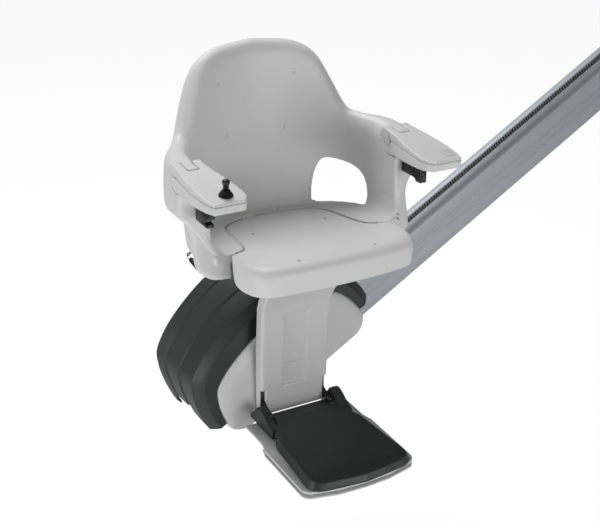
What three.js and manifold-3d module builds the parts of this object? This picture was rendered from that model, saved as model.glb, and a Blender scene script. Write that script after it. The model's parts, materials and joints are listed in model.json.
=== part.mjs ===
// Stairlift chair: a swivelling seat with fold-up arms, seat panel and footrest, on a carriage
// that climbs a straight inclined rail by rack and pinion.
// Millimetres, +Z up. The chair faces -Y and the rail rises towards +X.
import * as THREE from 'three';
import Module from 'manifold-3d';
import { mergeVertices } from 'three/addons/utils/BufferGeometryUtils.js';

const wasm = await Module();
wasm.setup();

// Driving dimensions

const gap = 0.3;                       // clearance between pieces that touch
const runningGap = 1;                  // clearance round pieces that turn or fold
const overrun = 2;                     // how far a cutting tool runs past the surface it cuts
const round = 16;                      // sides of a turned piece
const sideRound = 12;                  // sides of a small roller or knob
const smallRound = 10;                 // sides of a pin or a small bore
const fineness = 0.2;                  // edges shorter than this are merged after cutting
const half = 0.5;

const rail = {
  slopeDegrees: 31,
  lowEnd: -95,
  highEnd: 1240,
  front: 100,
  depth: 85,
  faceHeight: 95.6,
  height: 134,
  shelfHeight: 114,
  shelfFront: 118,
  webFront: 128,
  webThickness: 4,
  lipFront: 114,
  lipThickness: 4,
  trackHeight: 92,
  wall: 4,
  footWall: 12,
  slotPlace: 160,
  slotMouth: 10,
  slotWidth: 20,
  slotLip: 3,
  slotDepth: 9,
  grooveDepth: 1.4,
  grooveWidth: 3,
  grooveShares: [0.36, 0.44, 0.56, 0.64],
  capThickness: 5,
  mountPlace: 125,
};

const gear = {
  module: 2.5,
  pinionTeeth: 16,
  rackHeight: 14.2,
  rackThickness: 9.7,
  pinionWidth: 12,
  shaftRadius: 6,
  backlash: 0.5,
  addendumShare: 1,
  dedendumShare: 1.25,
  rackTipShare: 0.42,
  rackRootShare: 1.24,
  toothShares: [[-1.1, -1.2], [-0.66, 0], [-0.28, 0.86], [0.28, 0.86], [0.66, 0], [1.1, -1.2]],
};

const carriage = {
  centre: 78,
  hoodFront: 20,
  hoodBack: 185,
  hoodLength: 260,
  hoodCrown: 338,
  hoodWall: 5,
  hoodBottom: 86,
  tunnelFront: 96,
  tunnelBack: 160,
  tunnelHeight: 140,
  tailHeight: 114,
  coverFront: 8,
  coverBack: 30,
  coverWall: 4,
  coverLength: 208,
  coverHeight: 229,
  coverBottom: 32,
  coverShoulder: 60,
  coverFoot: 178,
  bossRadius: 6,
  bossAcross: 130,
  bossLow: 50,
  bossHigh: 172,
  lugFoot: 150,
  lugTop: 172,
  plateFront: 62,
  plateThickness: 6,
  bridgeHeight: 196,
  bridgeLength: 172,
  flangeFront: 166,
  flangeFoot: 102,
};

// Each hood station holds its depth place, half length and crown height, as shares of the hood's.
const hoodStationShares = [
  [0, 0.865, 0.805], [0.036, 0.888, 0.822], [0.152, 0.946, 0.855], [0.467, 0.954, 0.888],
  [0.491, 0.965, 0.899], [0.776, 0.973, 0.953], [0.8, 0.985, 0.964], [0.958, 1, 1], [1, 0.988, 0.988],
];
const hoodStations = hoodStationShares.map(([back, along, up]) => [
  carriage.hoodFront + back * (carriage.hoodBack - carriage.hoodFront),
  along * carriage.hoodLength,
  up * carriage.hoodCrown,
]);

// The arch of the hood and of the cover, as shares of its half length and crown height.
const archShares = [
  [0, 1], [0.16, 0.993], [0.32, 0.97], [0.48, 0.937], [0.63, 0.895], [0.76, 0.842], [0.86, 0.78],
  [0.92, 0.69], [0.96, 0.59], [0.985, 0.49], [1, 0.39],
];

// The cover's bulge, as shares of its depth: how far each level is drawn in and how far forward it is.
const coverLevelShares = [[0, 0], [0.12, 0.45], [0.5, 0.72], [1.3, 0.92], [2.2, 1]];

const roller = {
  trackRadius: 18,
  trackWidth: 26,
  sideRadius: 14,
  sideWidth: 18,
  hubRadius: 5,
  crown: 1.5,
  spread: 125,
  backSpread: 62,
  hangerThickness: 9,
  hangerWidth: 26,
  axleHead: 4,
};

const drive = {
  boxLength: 76,
  boxFront: 72,
  boxBack: 130,
  boxFoot: 138,
  boxHeight: 36,
  motorRadius: 30,
  motorHeight: 90,
  motorShoulderShare: 0.82,
  motorNeckShare: 0.86,
  batteryStart: 58,
  batteryLength: 94,
  batteryFront: 76,
  batteryDepth: 76,
  batteryHeight: 46,
  terminalRadius: 4,
  terminalHeight: 6,
  terminalShares: [0.25, 0.75],
  boardLength: 90,
  boardHeight: 80,
  boardThickness: 2,
  boardPlace: -118,
  boardFoot: 66,
  chipSize: 14,
  chipHeight: 3,
  chipShares: [0.3, 0.5, 0.7],
  postRadius: 3,
  postHeight: 4,
};

const seat = {
  height: 484.6,                       // seat surface at the rear cushion holes, above the rail's foot
  rise: 22 / 215,                      // the seat surface rises towards the front
  floorThickness: 16,
  innerHalfWidth: 222,
  innerDepth: 165,
  bowPower: 2.6,
  sideWall: 61,
  backWall: 44,
  skin: 5,
  sideFront: 82,
  sideSweep: 22,
  sweepTop: 60,
  sweepFoot: -20,
  sideRim: 205,
  backRim: 391,
  rimInner: 36,
  rimOuter: 28,
  floorFillet: 36,
  stepHeight: 92,
  legInset: 66,
  footFront: 100,
  holeRadius: 3.5,
  holeDepth: 6,
};

// The rim round the bowl, from the front of the side to the middle of the back: shares of a quarter
// turn, and of the climb from the side's rim to the back's.
const rimShares = [
  [0, 0], [0.144, 0.032], [0.267, 0.086], [0.378, 0.172], [0.478, 0.296], [0.556, 0.489],
  [0.622, 0.704], [0.689, 0.866], [0.767, 0.957], [0.87, 0.995], [1, 1],
];
const rimStations = rimShares.map(([turn, climb]) => [
  turn * 90, seat.sideRim + climb * (seat.backRim - seat.sideRim),
]);

// The wall's section: inner and outer halves of its rim, the fillet at its floor and the leg below,
// as shares of the rim's, the fillet's and the leg's own sizes.
const rimInnerShares = [[0, 1], [0.083, 0.556], [0.278, 0.194], [0.556, 0.028]];
const rimOuterShares = [[0.786, 0], [0.357, 0.143], [0.107, 0.464], [0, 1]];
const filletShares = [[-1, 0], [-0.611, 0.056], [-0.222, 0.278], [0, 0.75]];
const legShares = [[0, 1], [0.136, 0.717], [0.182, 0.326], [0.288, -0.022], [0.561, -0.283]];
const heelShares = [[1, -0.446], [-1, -0.511]];

// The cushion's fixing holes, as shares of the bowl's half width and back, and of the panel's
// half width and front.
const backHoleShares = [[0.419, 0.767], [0.318, 0.448]];
const seatHoleShares = [[0.469, 0], [0.472, 0.86]];

const panel = {
  thickness: 16,
  seam: 1.6,
  rearRadius: 3.5,
  frontRadius: 24,
  skirtDepth: 64,
  skirtWall: 6,
  skirtStart: 92,
  halfWidth: 192,
  rear: 116,
  front: 250,
  knuckleBack: 121,
  knuckleRadius: 4.5,
  knuckleStart: 34,
  knuckleEnd: 58,
  knucklePin: 2.5,
  bossLength: 8,
};

// Half of the seat panel's outline, from the middle of its rear edge to the middle of its front,
// as shares of its half width and of its length behind (+) and before (-) the rear cushion holes.
const panelRearShares = [
  [0, 1], [0.26, 0.975], [0.47, 0.865], [0.585, 0.735], [0.645, 0.54], [0.675, 0.3], [0.69, 0.06],
];
const panelFrontShares = [
  [0.715, -0.125], [0.75, -0.262], [0.8, -0.345], [0.9, -0.385], [0.975, -0.404], [1, -0.45],
  [0.997, -0.58], [0.965, -0.72], [0.915, -0.83], [0.83, -0.91], [0.7, -0.958], [0.4, -0.99],
  [0, -1],
];

const sideWindow = {
  halfWidth: 71,
  top: 95,
  bottom: -24,
  centreInset: 42,
  centreBack: 90,
  turnDegrees: 37,
  reachIn: 15,
  reachOut: 90,
};

// The window's outline as shares of its half width and of its height above the bottom.
const windowShares = [
  [-0.9, 0], [-1, 0.12], [-1, 0.46], [-0.93, 0.72], [-0.8, 0.9], [-0.55, 1], [-0.2, 0.995], [0.2, 0.95],
  [0.55, 0.88], [0.8, 0.76], [0.94, 0.58], [1, 0.34], [0.93, 0.1], [0.7, 0],
];

const arm = {
  pivotBack: -47,
  pivotHeight: 181,
  hingeRadius: 32,
  pinRadius: 5,
  tongueRadius: 29,
  tongueInset: 20,
  tongueWidth: 24,
  rootFront: -25,
  rearRise: 23.6,
  frontRise: 6,
  frontDrop: 14,
  length: 225,
  width: 64,
  seamRise: 1.3,
  capRadius: 13,
  capThickness: 2,
};
const armInner = seat.innerHalfWidth - runningGap;
const armOuter = armInner + arm.width;
const armReach = arm.length + arm.pivotBack - arm.rootFront;

// Each arm station holds its distance before the hinge, as a share of the arm's reach, and its inner
// and outer faces, as shares of the arm's width.
const armStationShares = [
  [0, 0, 1], [0.163, -0.047, 1.063], [0.32, -0.125, 1.109], [0.483, -0.188, 1.141],
  [0.581, -0.219, 1.141], [0.729, -0.25, 1.125], [0.828, -0.219, 1.094], [0.887, -0.141, 1.047],
  [0.936, -0.016, 1.016],
];
const armStations = armStationShares.map(([before, inner, outer]) => [
  before * armReach, armInner + inner * arm.width, armInner + outer * arm.width,
]);

const stick = {
  inset: 25,
  fromFront: 45,
  flangeRadius: 17,
  bootRadius: 14,
  bootHeight: 13,
  neckRadius: 5,
  knobRadius: 7,
  height: 42,
  pocketShare: 0.7,
};

const button = {
  inset: 50,
  fromFront: 45,
  width: 22,
  length: 34,
  corner: 7,
  depth: 4,
  proud: 0.8,
  travel: 1.2,
};

const belt = {
  inset: 29,
  thickness: 16,
  rear: 77.3,
  front: 150,
  bottom: 108,
  height: 34,
  rightRear: 79.4,
  rightFront: 142,
  rightBottom: 97,
  rightHeight: 26,
  notch: 6,
  keyLength: 20,
  keyHeight: 12,
  keyThickness: 8,
};

const lever = {
  back: 88,
  drop: 56,
  rodRadius: 3,
  inner: 70,
  outer: 213,
  gripRadius: 6,
  gripLength: 46,
  reach: 70,
  fall: 9,
  bendRadius: 14,
  blockWidth: 16,
};

const column = {
  wall: 5,
  sideDepth: 30,
  recessHalf: 32,
  recessDepth: 5,
  recessTop: -196,
  recessBottom: -386,
  seamPlace: -330,
  seamWidth: 1.2,
  slotInner: 74.6,
  slotTop: -390,
  edge: 6,
  foot: -453,
  spineHalf: 45,
  spineBack: 2,
  spineDepth: 14,
  spineTop: -112,
  spineFoot: -438,
  neckHalf: 42,
  neckTop: 222.6,                      // the neck's top and foot, above the rail's foot
  neckFoot: 139.6,
  head: -68,
  headHalf: 98,
  footPlace: -24,
  headPlace: -99,
};
const neckTop = column.neckTop - seat.height;
const neckFoot = column.neckFoot - seat.height;

// Each column station holds its height, half width and front place, as shares of the column's height,
// of its head's half width, and of how far its head leans forward.
const columnStationShares = [
  [0, 0.878, 0], [0.164, 0.888, 0], [0.423, 0.898, 0.067], [0.67, 0.898, 0.173], [0.73, 0.908, 0.253],
  [0.782, 0.929, 0.4], [0.839, 0.949, 0.613], [0.896, 0.969, 0.827], [0.953, 0.99, 0.96], [1, 1, 1],
];
const columnStations = columnStationShares.map(([up, wide, lean]) => [
  column.foot + up * (column.head - column.foot),
  wide * column.headHalf,
  column.footPlace + lean * (column.headPlace - column.footPlace),
]);

const swivel = {
  back: -45,
  headHalf: 40,
  headTop: -86,
  postRadius: 25,
  postBore: 19,
  postTop: -62,
  plateRadius: 68,
  plateThickness: 6,
  saddleHalf: 70,
  coverHalf: 84,
  coverWall: 3,
  coverBack: 6,
  coverTop: -70,
  coverFoot: -148,
};

const frame = {
  tube: 20,
  wall: 2,
  sidePlace: 104,
  front: 196,
  rear: 96,
  crossHalf: 160,
  frontCross: -140,
  rearCross: 30,
};

const foot = {
  hingeBack: -50,
  hingeHeight: -440,
  pinRadius: 4,
  padTop: -437,
  padFoot: -462,
  padRearTop: -452,
  padRear: 27,
  padFront: 348,
  padHalf: 118,
  padLip: 40,
  padLipDrop: 8,
  earInner: 87.5,
  earOuter: 106,
  bracketInner: 75.2,
  bracketOuter: 80.6,
  slotFront: 76,
  plateThickness: 6,
  plateHalf: 139,
  plateNeck: 132,
  plateFront: 350,
  treadleDrop: 8,
  treadleThickness: 4,
  treadleRear: 118,
  treadleRim: 3,
  springRadius: 5,
  springEngagement: 1,
  edge: 5,
  draft: 9,
};

// Half of the pad's top outline, as shares of its distance before the column's axis and half width.
const padShares = [
  [0.299, 0.72], [0.333, 0.763], [0.379, 0.839], [0.431, 0.898], [0.506, 0.915], [0.718, 0.958],
  [0.876, 1], [0.934, 0.975], [0.971, 0.847], [0.991, 0.508], [1, 0],
];

// The four springs between the plates, as shares of the plate's half width and front.
const springShares = [
  ['rear_left', 0.7, 0.42], ['rear_right', -0.7, 0.42], ['front_left', 0.7, 0.88],
  ['front_right', -0.7, 0.88],
];

// Materials

const paint = (colour, roughness, metalness) =>
  new THREE.MeshStandardMaterial({ color: colour, roughness, metalness });
const shellGrey = paint(0xc4c5c4, 0.55, 0);
const lightGrey = paint(0xcfd0cf, 0.5, 0);
const darkGrey = paint(0x3a3d3b, 0.75, 0);
const black = paint(0x111212, 0.6, 0);
const aluminium = paint(0xaab0b8, 0.4, 0.8);
const steel = paint(0x8b8e92, 0.4, 0.9);
const blackSteel = paint(0x2a2c2e, 0.5, 0.7);
const chrome = paint(0xd5d8dc, 0.15, 1);
const rubber = paint(0x1a1b1b, 0.9, 0);
const boardGreen = paint(0x1f5a3a, 0.6, 0);

// Solids

const point = (x, y, z) => new THREE.Vector3(x, y, z);
const toShape = (points) => new THREE.Shape(points.map(([x, y]) => new THREE.Vector2(x, y)));

const toManifold = (geometry) => {
  const bare = geometry.clone();
  bare.deleteAttribute('normal');
  bare.deleteAttribute('uv');
  const merged = mergeVertices(bare);
  const mesh = new wasm.Mesh({
    numProp: 3,
    vertProperties: new Float32Array(merged.attributes.position.array),
    triVerts: new Uint32Array(merged.index.array),
  });
  return new wasm.Manifold(mesh);
};

const fromManifold = (solid) => {
  const mesh = solid.simplify(fineness).getMesh();
  const geometry = new THREE.BufferGeometry();
  geometry.setAttribute('position', new THREE.BufferAttribute(new Float32Array(mesh.vertProperties), 3));
  geometry.setIndex(new THREE.BufferAttribute(new Uint32Array(mesh.triVerts), 1));
  geometry.computeVertexNormals();
  return geometry;
};

const combine = (first, others, operation) => {
  let solid = toManifold(first);
  others.forEach((other) => {
    solid = solid[operation](toManifold(other));
  });
  return fromManifold(solid);
};
const join = (first, ...others) => combine(first, others, 'add');
const cut = (first, ...others) => combine(first, others, 'subtract');

const mirrored = (geometry) => fromManifold(toManifold(geometry).mirror([1, 0, 0]));

const extrude = (points, depth, holes = []) => {
  const shape = toShape(points);
  holes.forEach((hole) => shape.holes.push(toShape(hole)));
  return new THREE.ExtrudeGeometry(shape, { depth, bevelEnabled: false });
};

const basis = (first, second, third) => new THREE.Matrix4().makeBasis(first, second, third);
const axisX = point(1, 0, 0);
const axisY = point(0, 1, 0);
const axisZ = point(0, 0, 1);

// An outline in (y, z) run along X, in (x, z) run along Y, and in (x, y) run along Z.
const prismX = (points, start, end, holes = []) =>
  extrude(points, end - start, holes).applyMatrix4(basis(axisY, axisZ, axisX)).translate(start, 0, 0);
const prismY = (points, start, end) =>
  extrude(points, end - start).applyMatrix4(basis(axisX, axisZ, axisY.clone().negate())).translate(0, end, 0);
const prismZ = (points, start, end) => extrude(points, end - start).translate(0, 0, start);

const box = (x0, x1, y0, y1, z0, z1) =>
  new THREE.BoxGeometry(x1 - x0, y1 - y0, z1 - z0)
    .translate((x0 + x1) * half, (y0 + y1) * half, (z0 + z1) * half);

const turned = (profile, sides = round) =>
  new THREE.LatheGeometry(profile.map(([r, h]) => new THREE.Vector2(r, h)), sides)
    .applyMatrix4(basis(axisX, axisZ, axisY.clone().negate()));
const rodZ = (radius, z0, z1, x = 0, y = 0, sides = round) =>
  new THREE.CylinderGeometry(radius, radius, z1 - z0, sides)
    .applyMatrix4(basis(axisX, axisZ, axisY.clone().negate()))
    .translate(x, y, (z0 + z1) * half);
const rodY = (radius, y0, y1, x = 0, z = 0, sides = round) =>
  new THREE.CylinderGeometry(radius, radius, y1 - y0, sides).translate(x, (y0 + y1) * half, z);
const rodX = (radius, x0, x1, y = 0, z = 0, sides = round) =>
  new THREE.CylinderGeometry(radius, radius, x1 - x0, sides)
    .applyMatrix4(basis(axisY.clone().negate(), axisX, axisZ))
    .translate((x0 + x1) * half, y, z);

// A closed solid through sections of equal point counts, with flat ends.
const loft = (sections) => {
  const count = sections[0].length;
  const positions = sections.flat().flatMap((p) => [p.x, p.y, p.z]);
  const faces = [];
  for (let s = 0; s < sections.length - 1; s += 1) {
    for (let i = 0; i < count; i += 1) {
      const next = (i + 1) % count;
      const a = s * count + i;
      const b = s * count + next;
      faces.push([a, b, b + count], [a, b + count, a + count]);
    }
  }
  const cap = (section, base, reversed) => {
    const normal = point(0, 0, 0);
    section.forEach((p, i) => normal.add(p.clone().cross(section[(i + 1) % count])));
    normal.normalize();
    const across = section[1].clone().sub(section[0]).normalize();
    const up = normal.clone().cross(across);
    const flat = section.map((p) => new THREE.Vector2(p.dot(across), p.dot(up)));
    THREE.ShapeUtils.triangulateShape(flat, []).forEach(([a, b, c]) => {
      const area = flat[b].clone().sub(flat[a]).cross(flat[c].clone().sub(flat[a]));
      const face = area > 0 ? [a, b, c] : [a, c, b];
      if (reversed) face.reverse();
      faces.push(face.map((index) => index + base));
    });
  };
  cap(sections[0], 0, true);
  cap(sections[sections.length - 1], (sections.length - 1) * count, false);
  const corner = (index) => point(...positions.slice(index * 3, index * 3 + 3));
  const volume = faces.reduce((sum, [a, b, c]) => sum + corner(a).dot(corner(b).cross(corner(c))), 0);
  const outward = volume < 0 ? faces.map(([a, b, c]) => [a, c, b]) : faces;
  const geometry = new THREE.BufferGeometry();
  geometry.setAttribute('position', new THREE.Float32BufferAttribute(positions, 3));
  geometry.setIndex(outward.flat());
  geometry.computeVertexNormals();
  return geometry;
};

// A round bar along a path of points, with mitred bends.
const barAlong = (path, radius, sides = smallRound) => {
  let across = point(0, 0, 1);
  const sections = path.map((at, i) => {
    const before = path[Math.max(0, i - 1)];
    const after = path[Math.min(path.length - 1, i + 1)];
    const into = at.clone().sub(before).normalize();
    const out = after.clone().sub(at).normalize();
    const along = into.clone().add(out).normalize();
    across = across.clone().addScaledVector(along, -across.dot(along)).normalize();
    const up = along.clone().cross(across);
    return Array.from({ length: sides }, (_, k) => {
      const angle = (Math.PI * 2 * k) / sides;
      return at.clone().addScaledVector(across, radius * Math.cos(angle)).addScaledVector(up, radius * Math.sin(angle));
    });
  });
  return loft(sections);
};

// Moves each corner of a closed outline along its normal: outwards for an anticlockwise outline.
const offset = (points, distance) => points.map((p, i) => {
  const before = points[(i + points.length - 1) % points.length];
  const after = points[(i + 1) % points.length];
  const normalOf = (a, b) => {
    const length = Math.hypot(b[0] - a[0], b[1] - a[1]);
    return [(b[1] - a[1]) / length, (a[0] - b[0]) / length];
  };
  const n1 = normalOf(before, p);
  const n2 = normalOf(p, after);
  const scale = distance / Math.max(half, 1 + n1[0] * n2[0] + n1[1] * n2[1]);
  return [p[0] + (n1[0] + n2[0]) * scale, p[1] + (n1[1] + n2[1]) * scale];
});

const mirrorX = (points) => points.map(([x, y]) => [-x, y]).reverse();
const arc = (cx, cy, radius, startDegrees, endDegrees, steps) =>
  Array.from({ length: steps + 1 }, (_, i) => {
    const angle = THREE.MathUtils.degToRad(startDegrees + ((endDegrees - startDegrees) * i) / steps);
    return [cx + radius * Math.cos(angle), cy + radius * Math.sin(angle)];
  });
const between = (table, value) => {
  const last = table.length - 1;
  const upper = Math.max(1, table.findIndex((row) => row[0] >= value));
  const index = value >= table[last][0] ? last : upper;
  const [a, b] = [table[index - 1], table[index]];
  const share = THREE.MathUtils.clamp((value - a[0]) / (b[0] - a[0]), 0, 1);
  return a.map((from, i) => from + (b[i] - from) * share);
};
const smooth = (value, start, end) => THREE.MathUtils.smoothstep(value, start, end);

const place = (group, name, geometry, material) => {
  const mesh = new THREE.Mesh(geometry, material);
  mesh.name = name;
  group.add(mesh);
  return mesh;
};

// Scene graph: the rail and the chair share an origin under the rail's foot.

const slope = THREE.MathUtils.degToRad(rail.slopeDegrees);
const group = new THREE.Group();
const railGroup = new THREE.Group();
railGroup.position.y = -rail.mountPlace;
railGroup.rotation.y = -slope;
const carriageGroup = new THREE.Group();
carriageGroup.position.x = carriage.centre;
railGroup.add(carriageGroup);
const chairGroup = new THREE.Group();
chairGroup.position.set(0, -rail.mountPlace, seat.height);
group.add(railGroup, chairGroup);

// Where a point of the chair lies along the carriage and above the rail's foot.
const onCarriage = (x, z) => [
  x * Math.cos(slope) + (z + seat.height) * Math.sin(slope) - carriage.centre,
  (z + seat.height) * Math.cos(slope) - x * Math.sin(slope),
];

// Rail

const railBack = rail.front + rail.depth;
const webBack = rail.webFront + rail.webThickness;

const railOutline = () => {
  const points = [[rail.front, 0]];
  rail.grooveShares.forEach((share) => {
    const height = rail.faceHeight * share;
    points.push([rail.front, height - rail.grooveWidth * half]);
    points.push([rail.front + rail.grooveDepth, height]);
    points.push([rail.front, height + rail.grooveWidth * half]);
  });
  points.push([rail.front, rail.faceHeight]);
  const bowShares = [[0.45, 0.16], [0.78, 0.45], [0.95, 0.8]];
  const run = rail.shelfFront - rail.front;
  const climb = rail.shelfHeight - rail.faceHeight;
  bowShares.forEach(([u, v]) => points.push([rail.front + run * u, rail.faceHeight + climb * v]));
  points.push([rail.shelfFront, rail.shelfHeight], [rail.webFront, rail.shelfHeight]);
  points.push([rail.webFront, rail.height - rail.lipThickness], [rail.lipFront, rail.height - rail.lipThickness]);
  points.push([rail.lipFront, rail.height], [webBack, rail.height]);
  points.push([webBack, rail.trackHeight], [railBack, rail.trackHeight], [railBack, 0]);
  const mouth = rail.slotMouth * half;
  const inner = rail.slotWidth * half;
  points.push([rail.slotPlace + mouth, 0], [rail.slotPlace + mouth, rail.slotLip]);
  points.push([rail.slotPlace + inner, rail.slotLip], [rail.slotPlace + inner, rail.slotDepth]);
  points.push([rail.slotPlace - inner, rail.slotDepth], [rail.slotPlace - inner, rail.slotLip]);
  points.push([rail.slotPlace - mouth, rail.slotLip], [rail.slotPlace - mouth, 0]);
  return points.reverse();
};

const railHollow = [
  [rail.front + rail.wall, rail.footWall],
  [railBack - rail.wall, rail.footWall],
  [railBack - rail.wall, rail.trackHeight - rail.wall],
  [rail.front + rail.wall, rail.trackHeight - rail.wall],
];
place(railGroup, 'rail_extrusion',
  prismX(railOutline(), rail.lowEnd, rail.highEnd, [railHollow]), aluminium);

// Rack: teeth face the chair, with a gap facing the pinion at the carriage's centre.
const pitch = Math.PI * gear.module;
const rackBack = rail.webFront - gap;
const rackRoot = rail.webFront - gear.rackThickness + gear.module * (gear.addendumShare + gear.dedendumShare);
const rackTip = rail.webFront - gear.rackThickness;
const rackOutline = () => {
  const points = [];
  const first = Math.ceil((rail.lowEnd - carriage.centre) / pitch);
  const last = Math.floor((rail.highEnd - carriage.centre) / pitch);
  const root = gear.module * gear.rackRootShare;
  const tip = gear.module * gear.rackTipShare;
  for (let tooth = first; tooth < last; tooth += 1) {
    const centre = carriage.centre + (tooth + half) * pitch;
    points.push([centre - root, rackRoot], [centre - tip, rackTip]);
    points.push([centre + tip, rackTip], [centre + root, rackRoot]);
  }
  points.push([rail.highEnd, rackRoot], [rail.highEnd, rackBack]);
  points.push([rail.lowEnd, rackBack], [rail.lowEnd, rackRoot]);
  return points;
};
const rackFoot = rail.shelfHeight + gap;
place(railGroup, 'rack', prismZ(rackOutline(), rackFoot, rackFoot + gear.rackHeight), steel);

const endOutline = () => railOutline().filter(([y, h]) =>
  !(y > rail.front && y < railBack && h < rail.footWall) && !(y > rail.front && h < rail.faceHeight && y < webBack));
const endCap = (start, end) => prismX(endOutline(), start, end);
place(railGroup, 'rail_end_cap_lower',
  endCap(rail.lowEnd - gap - rail.capThickness, rail.lowEnd - gap), darkGrey);
place(railGroup, 'rail_end_cap_upper',
  endCap(rail.highEnd + gap, rail.highEnd + gap + rail.capThickness), darkGrey);

// Carriage covers

const archOutline = (length, height, bottom, inset) => {
  const side = archShares.map(([u, v]) => [u * length, Math.max(v * height, bottom)]);
  side.push([length - inset, bottom]);
  return [...side.slice(1).reverse(), ...mirrorX(side).reverse()];
};

const hoodSection = ([depth, length, height], index) => {
  const outer = archOutline(length, height, carriage.hoodBottom, 0);
  const inFront = index < 2;
  const innerLength = inFront ? carriage.coverLength + gap : length - carriage.hoodWall;
  const innerHeight = inFront ? carriage.coverHeight + gap : height - carriage.hoodWall;
  const inner = archOutline(innerLength, innerHeight, carriage.hoodBottom, 0);
  return [...outer, ...inner.reverse()].map(([u, h]) => point(u, depth, h));
};
const hoodSolid = () => {
  const sections = hoodStations.map(hoodSection);
  const length = hoodStations[hoodStations.length - 1][1] + overrun;
  const back = railBack + overrun;
  const tunnel = box(-length * 2, length * 2, carriage.tunnelFront, carriage.tunnelBack, 0, carriage.tunnelHeight);
  const tail = box(-length * 2, length * 2, carriage.tunnelBack - overrun, back, 0, carriage.tailHeight);
  return cut(loft(sections), tunnel, tail);
};
place(carriageGroup, 'carriage_hood', hoodSolid(), darkGrey);

const coverOutline = () => {
  const side = archShares.map(([u, v]) => [u * carriage.coverLength, v * carriage.coverHeight]);
  side.push([carriage.coverLength, carriage.coverShoulder]);
  side.push([carriage.coverFoot, carriage.coverBottom]);
  return [...side.slice(1).reverse(), ...mirrorX(side).reverse()];
};
const coverLevel = (inset, depth) => {
  const middle = (carriage.coverHeight + carriage.coverBottom) * half;
  const along = 1 - inset / carriage.coverLength;
  const up = 1 - inset / (middle - carriage.coverBottom);
  return coverOutline().map(([u, h]) => point(u * along, depth, middle + (h - middle) * up));
};
const coverSolid = () => {
  const bulge = carriage.coverBack - carriage.coverFront;
  const wall = carriage.coverWall;
  const outer = loft(coverLevelShares.map(([inset, depth]) =>
    coverLevel(inset * bulge, carriage.coverBack - bulge * depth)));
  const inner = loft([
    coverLevel(wall, carriage.coverBack + overrun),
    ...coverLevelShares.filter((_, i) => i === 1 || i > 2).map(([inset, depth]) =>
      coverLevel(inset * bulge + wall, carriage.coverBack - bulge * depth + wall)),
  ]);
  const neck = [[-1, 0], [1, 0], [1, 1], [-1, 1]].map(([u, v]) => onCarriage(
    u * (column.neckHalf + runningGap),
    neckFoot - runningGap + v * (neckTop - neckFoot + runningGap * 2),
  ));
  const bosses = [-1, 1].flatMap((side) => [carriage.bossLow, carriage.bossHigh].map((height) => rodY(
    carriage.bossRadius, carriage.coverFront + wall * half, carriage.plateFront - gap,
    side * carriage.bossAcross, height, smallRound,
  )));
  return cut(join(cut(outer, inner), ...bosses), prismY(neck, 0, carriage.coverBack + overrun));
};
place(carriageGroup, 'carriage_front_cover', coverSolid(), lightGrey);

// Carriage frame: front plate, bridge over the rail and rear flange, folded from one sheet.

const plateBack = carriage.plateFront + carriage.plateThickness;
const flangeBack = carriage.flangeFront + carriage.plateThickness;
const bridgeTop = carriage.bridgeHeight + carriage.plateThickness;
const trackCentre = rail.trackHeight + roller.trackRadius + gap;
const trackFront = webBack + gap * 4;
const sideHeight = (carriage.coverBottom + rail.faceHeight) * half - roller.sideWidth;
const frontRollerPlace = rail.front - roller.sideRadius - gap;
const backRollerPlace = webBack + roller.sideRadius + gap;
const backRollerFoot = rail.trackHeight + roller.crown * 2;
const pinionPlace = rackTip + gear.module - gear.module * gear.pinionTeeth * half - gear.backlash;

// How far out the hood's inner face lies at a depth and a height.
const hoodReach = (depth, height) => {
  const [, length, crown] = between(hoodStations, depth);
  const share = height / (crown - carriage.hoodWall);
  const rising = archShares.map(([u, v]) => [v, u]).reverse();
  return (length - carriage.hoodWall) * between(rising, share)[1];
};

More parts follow.
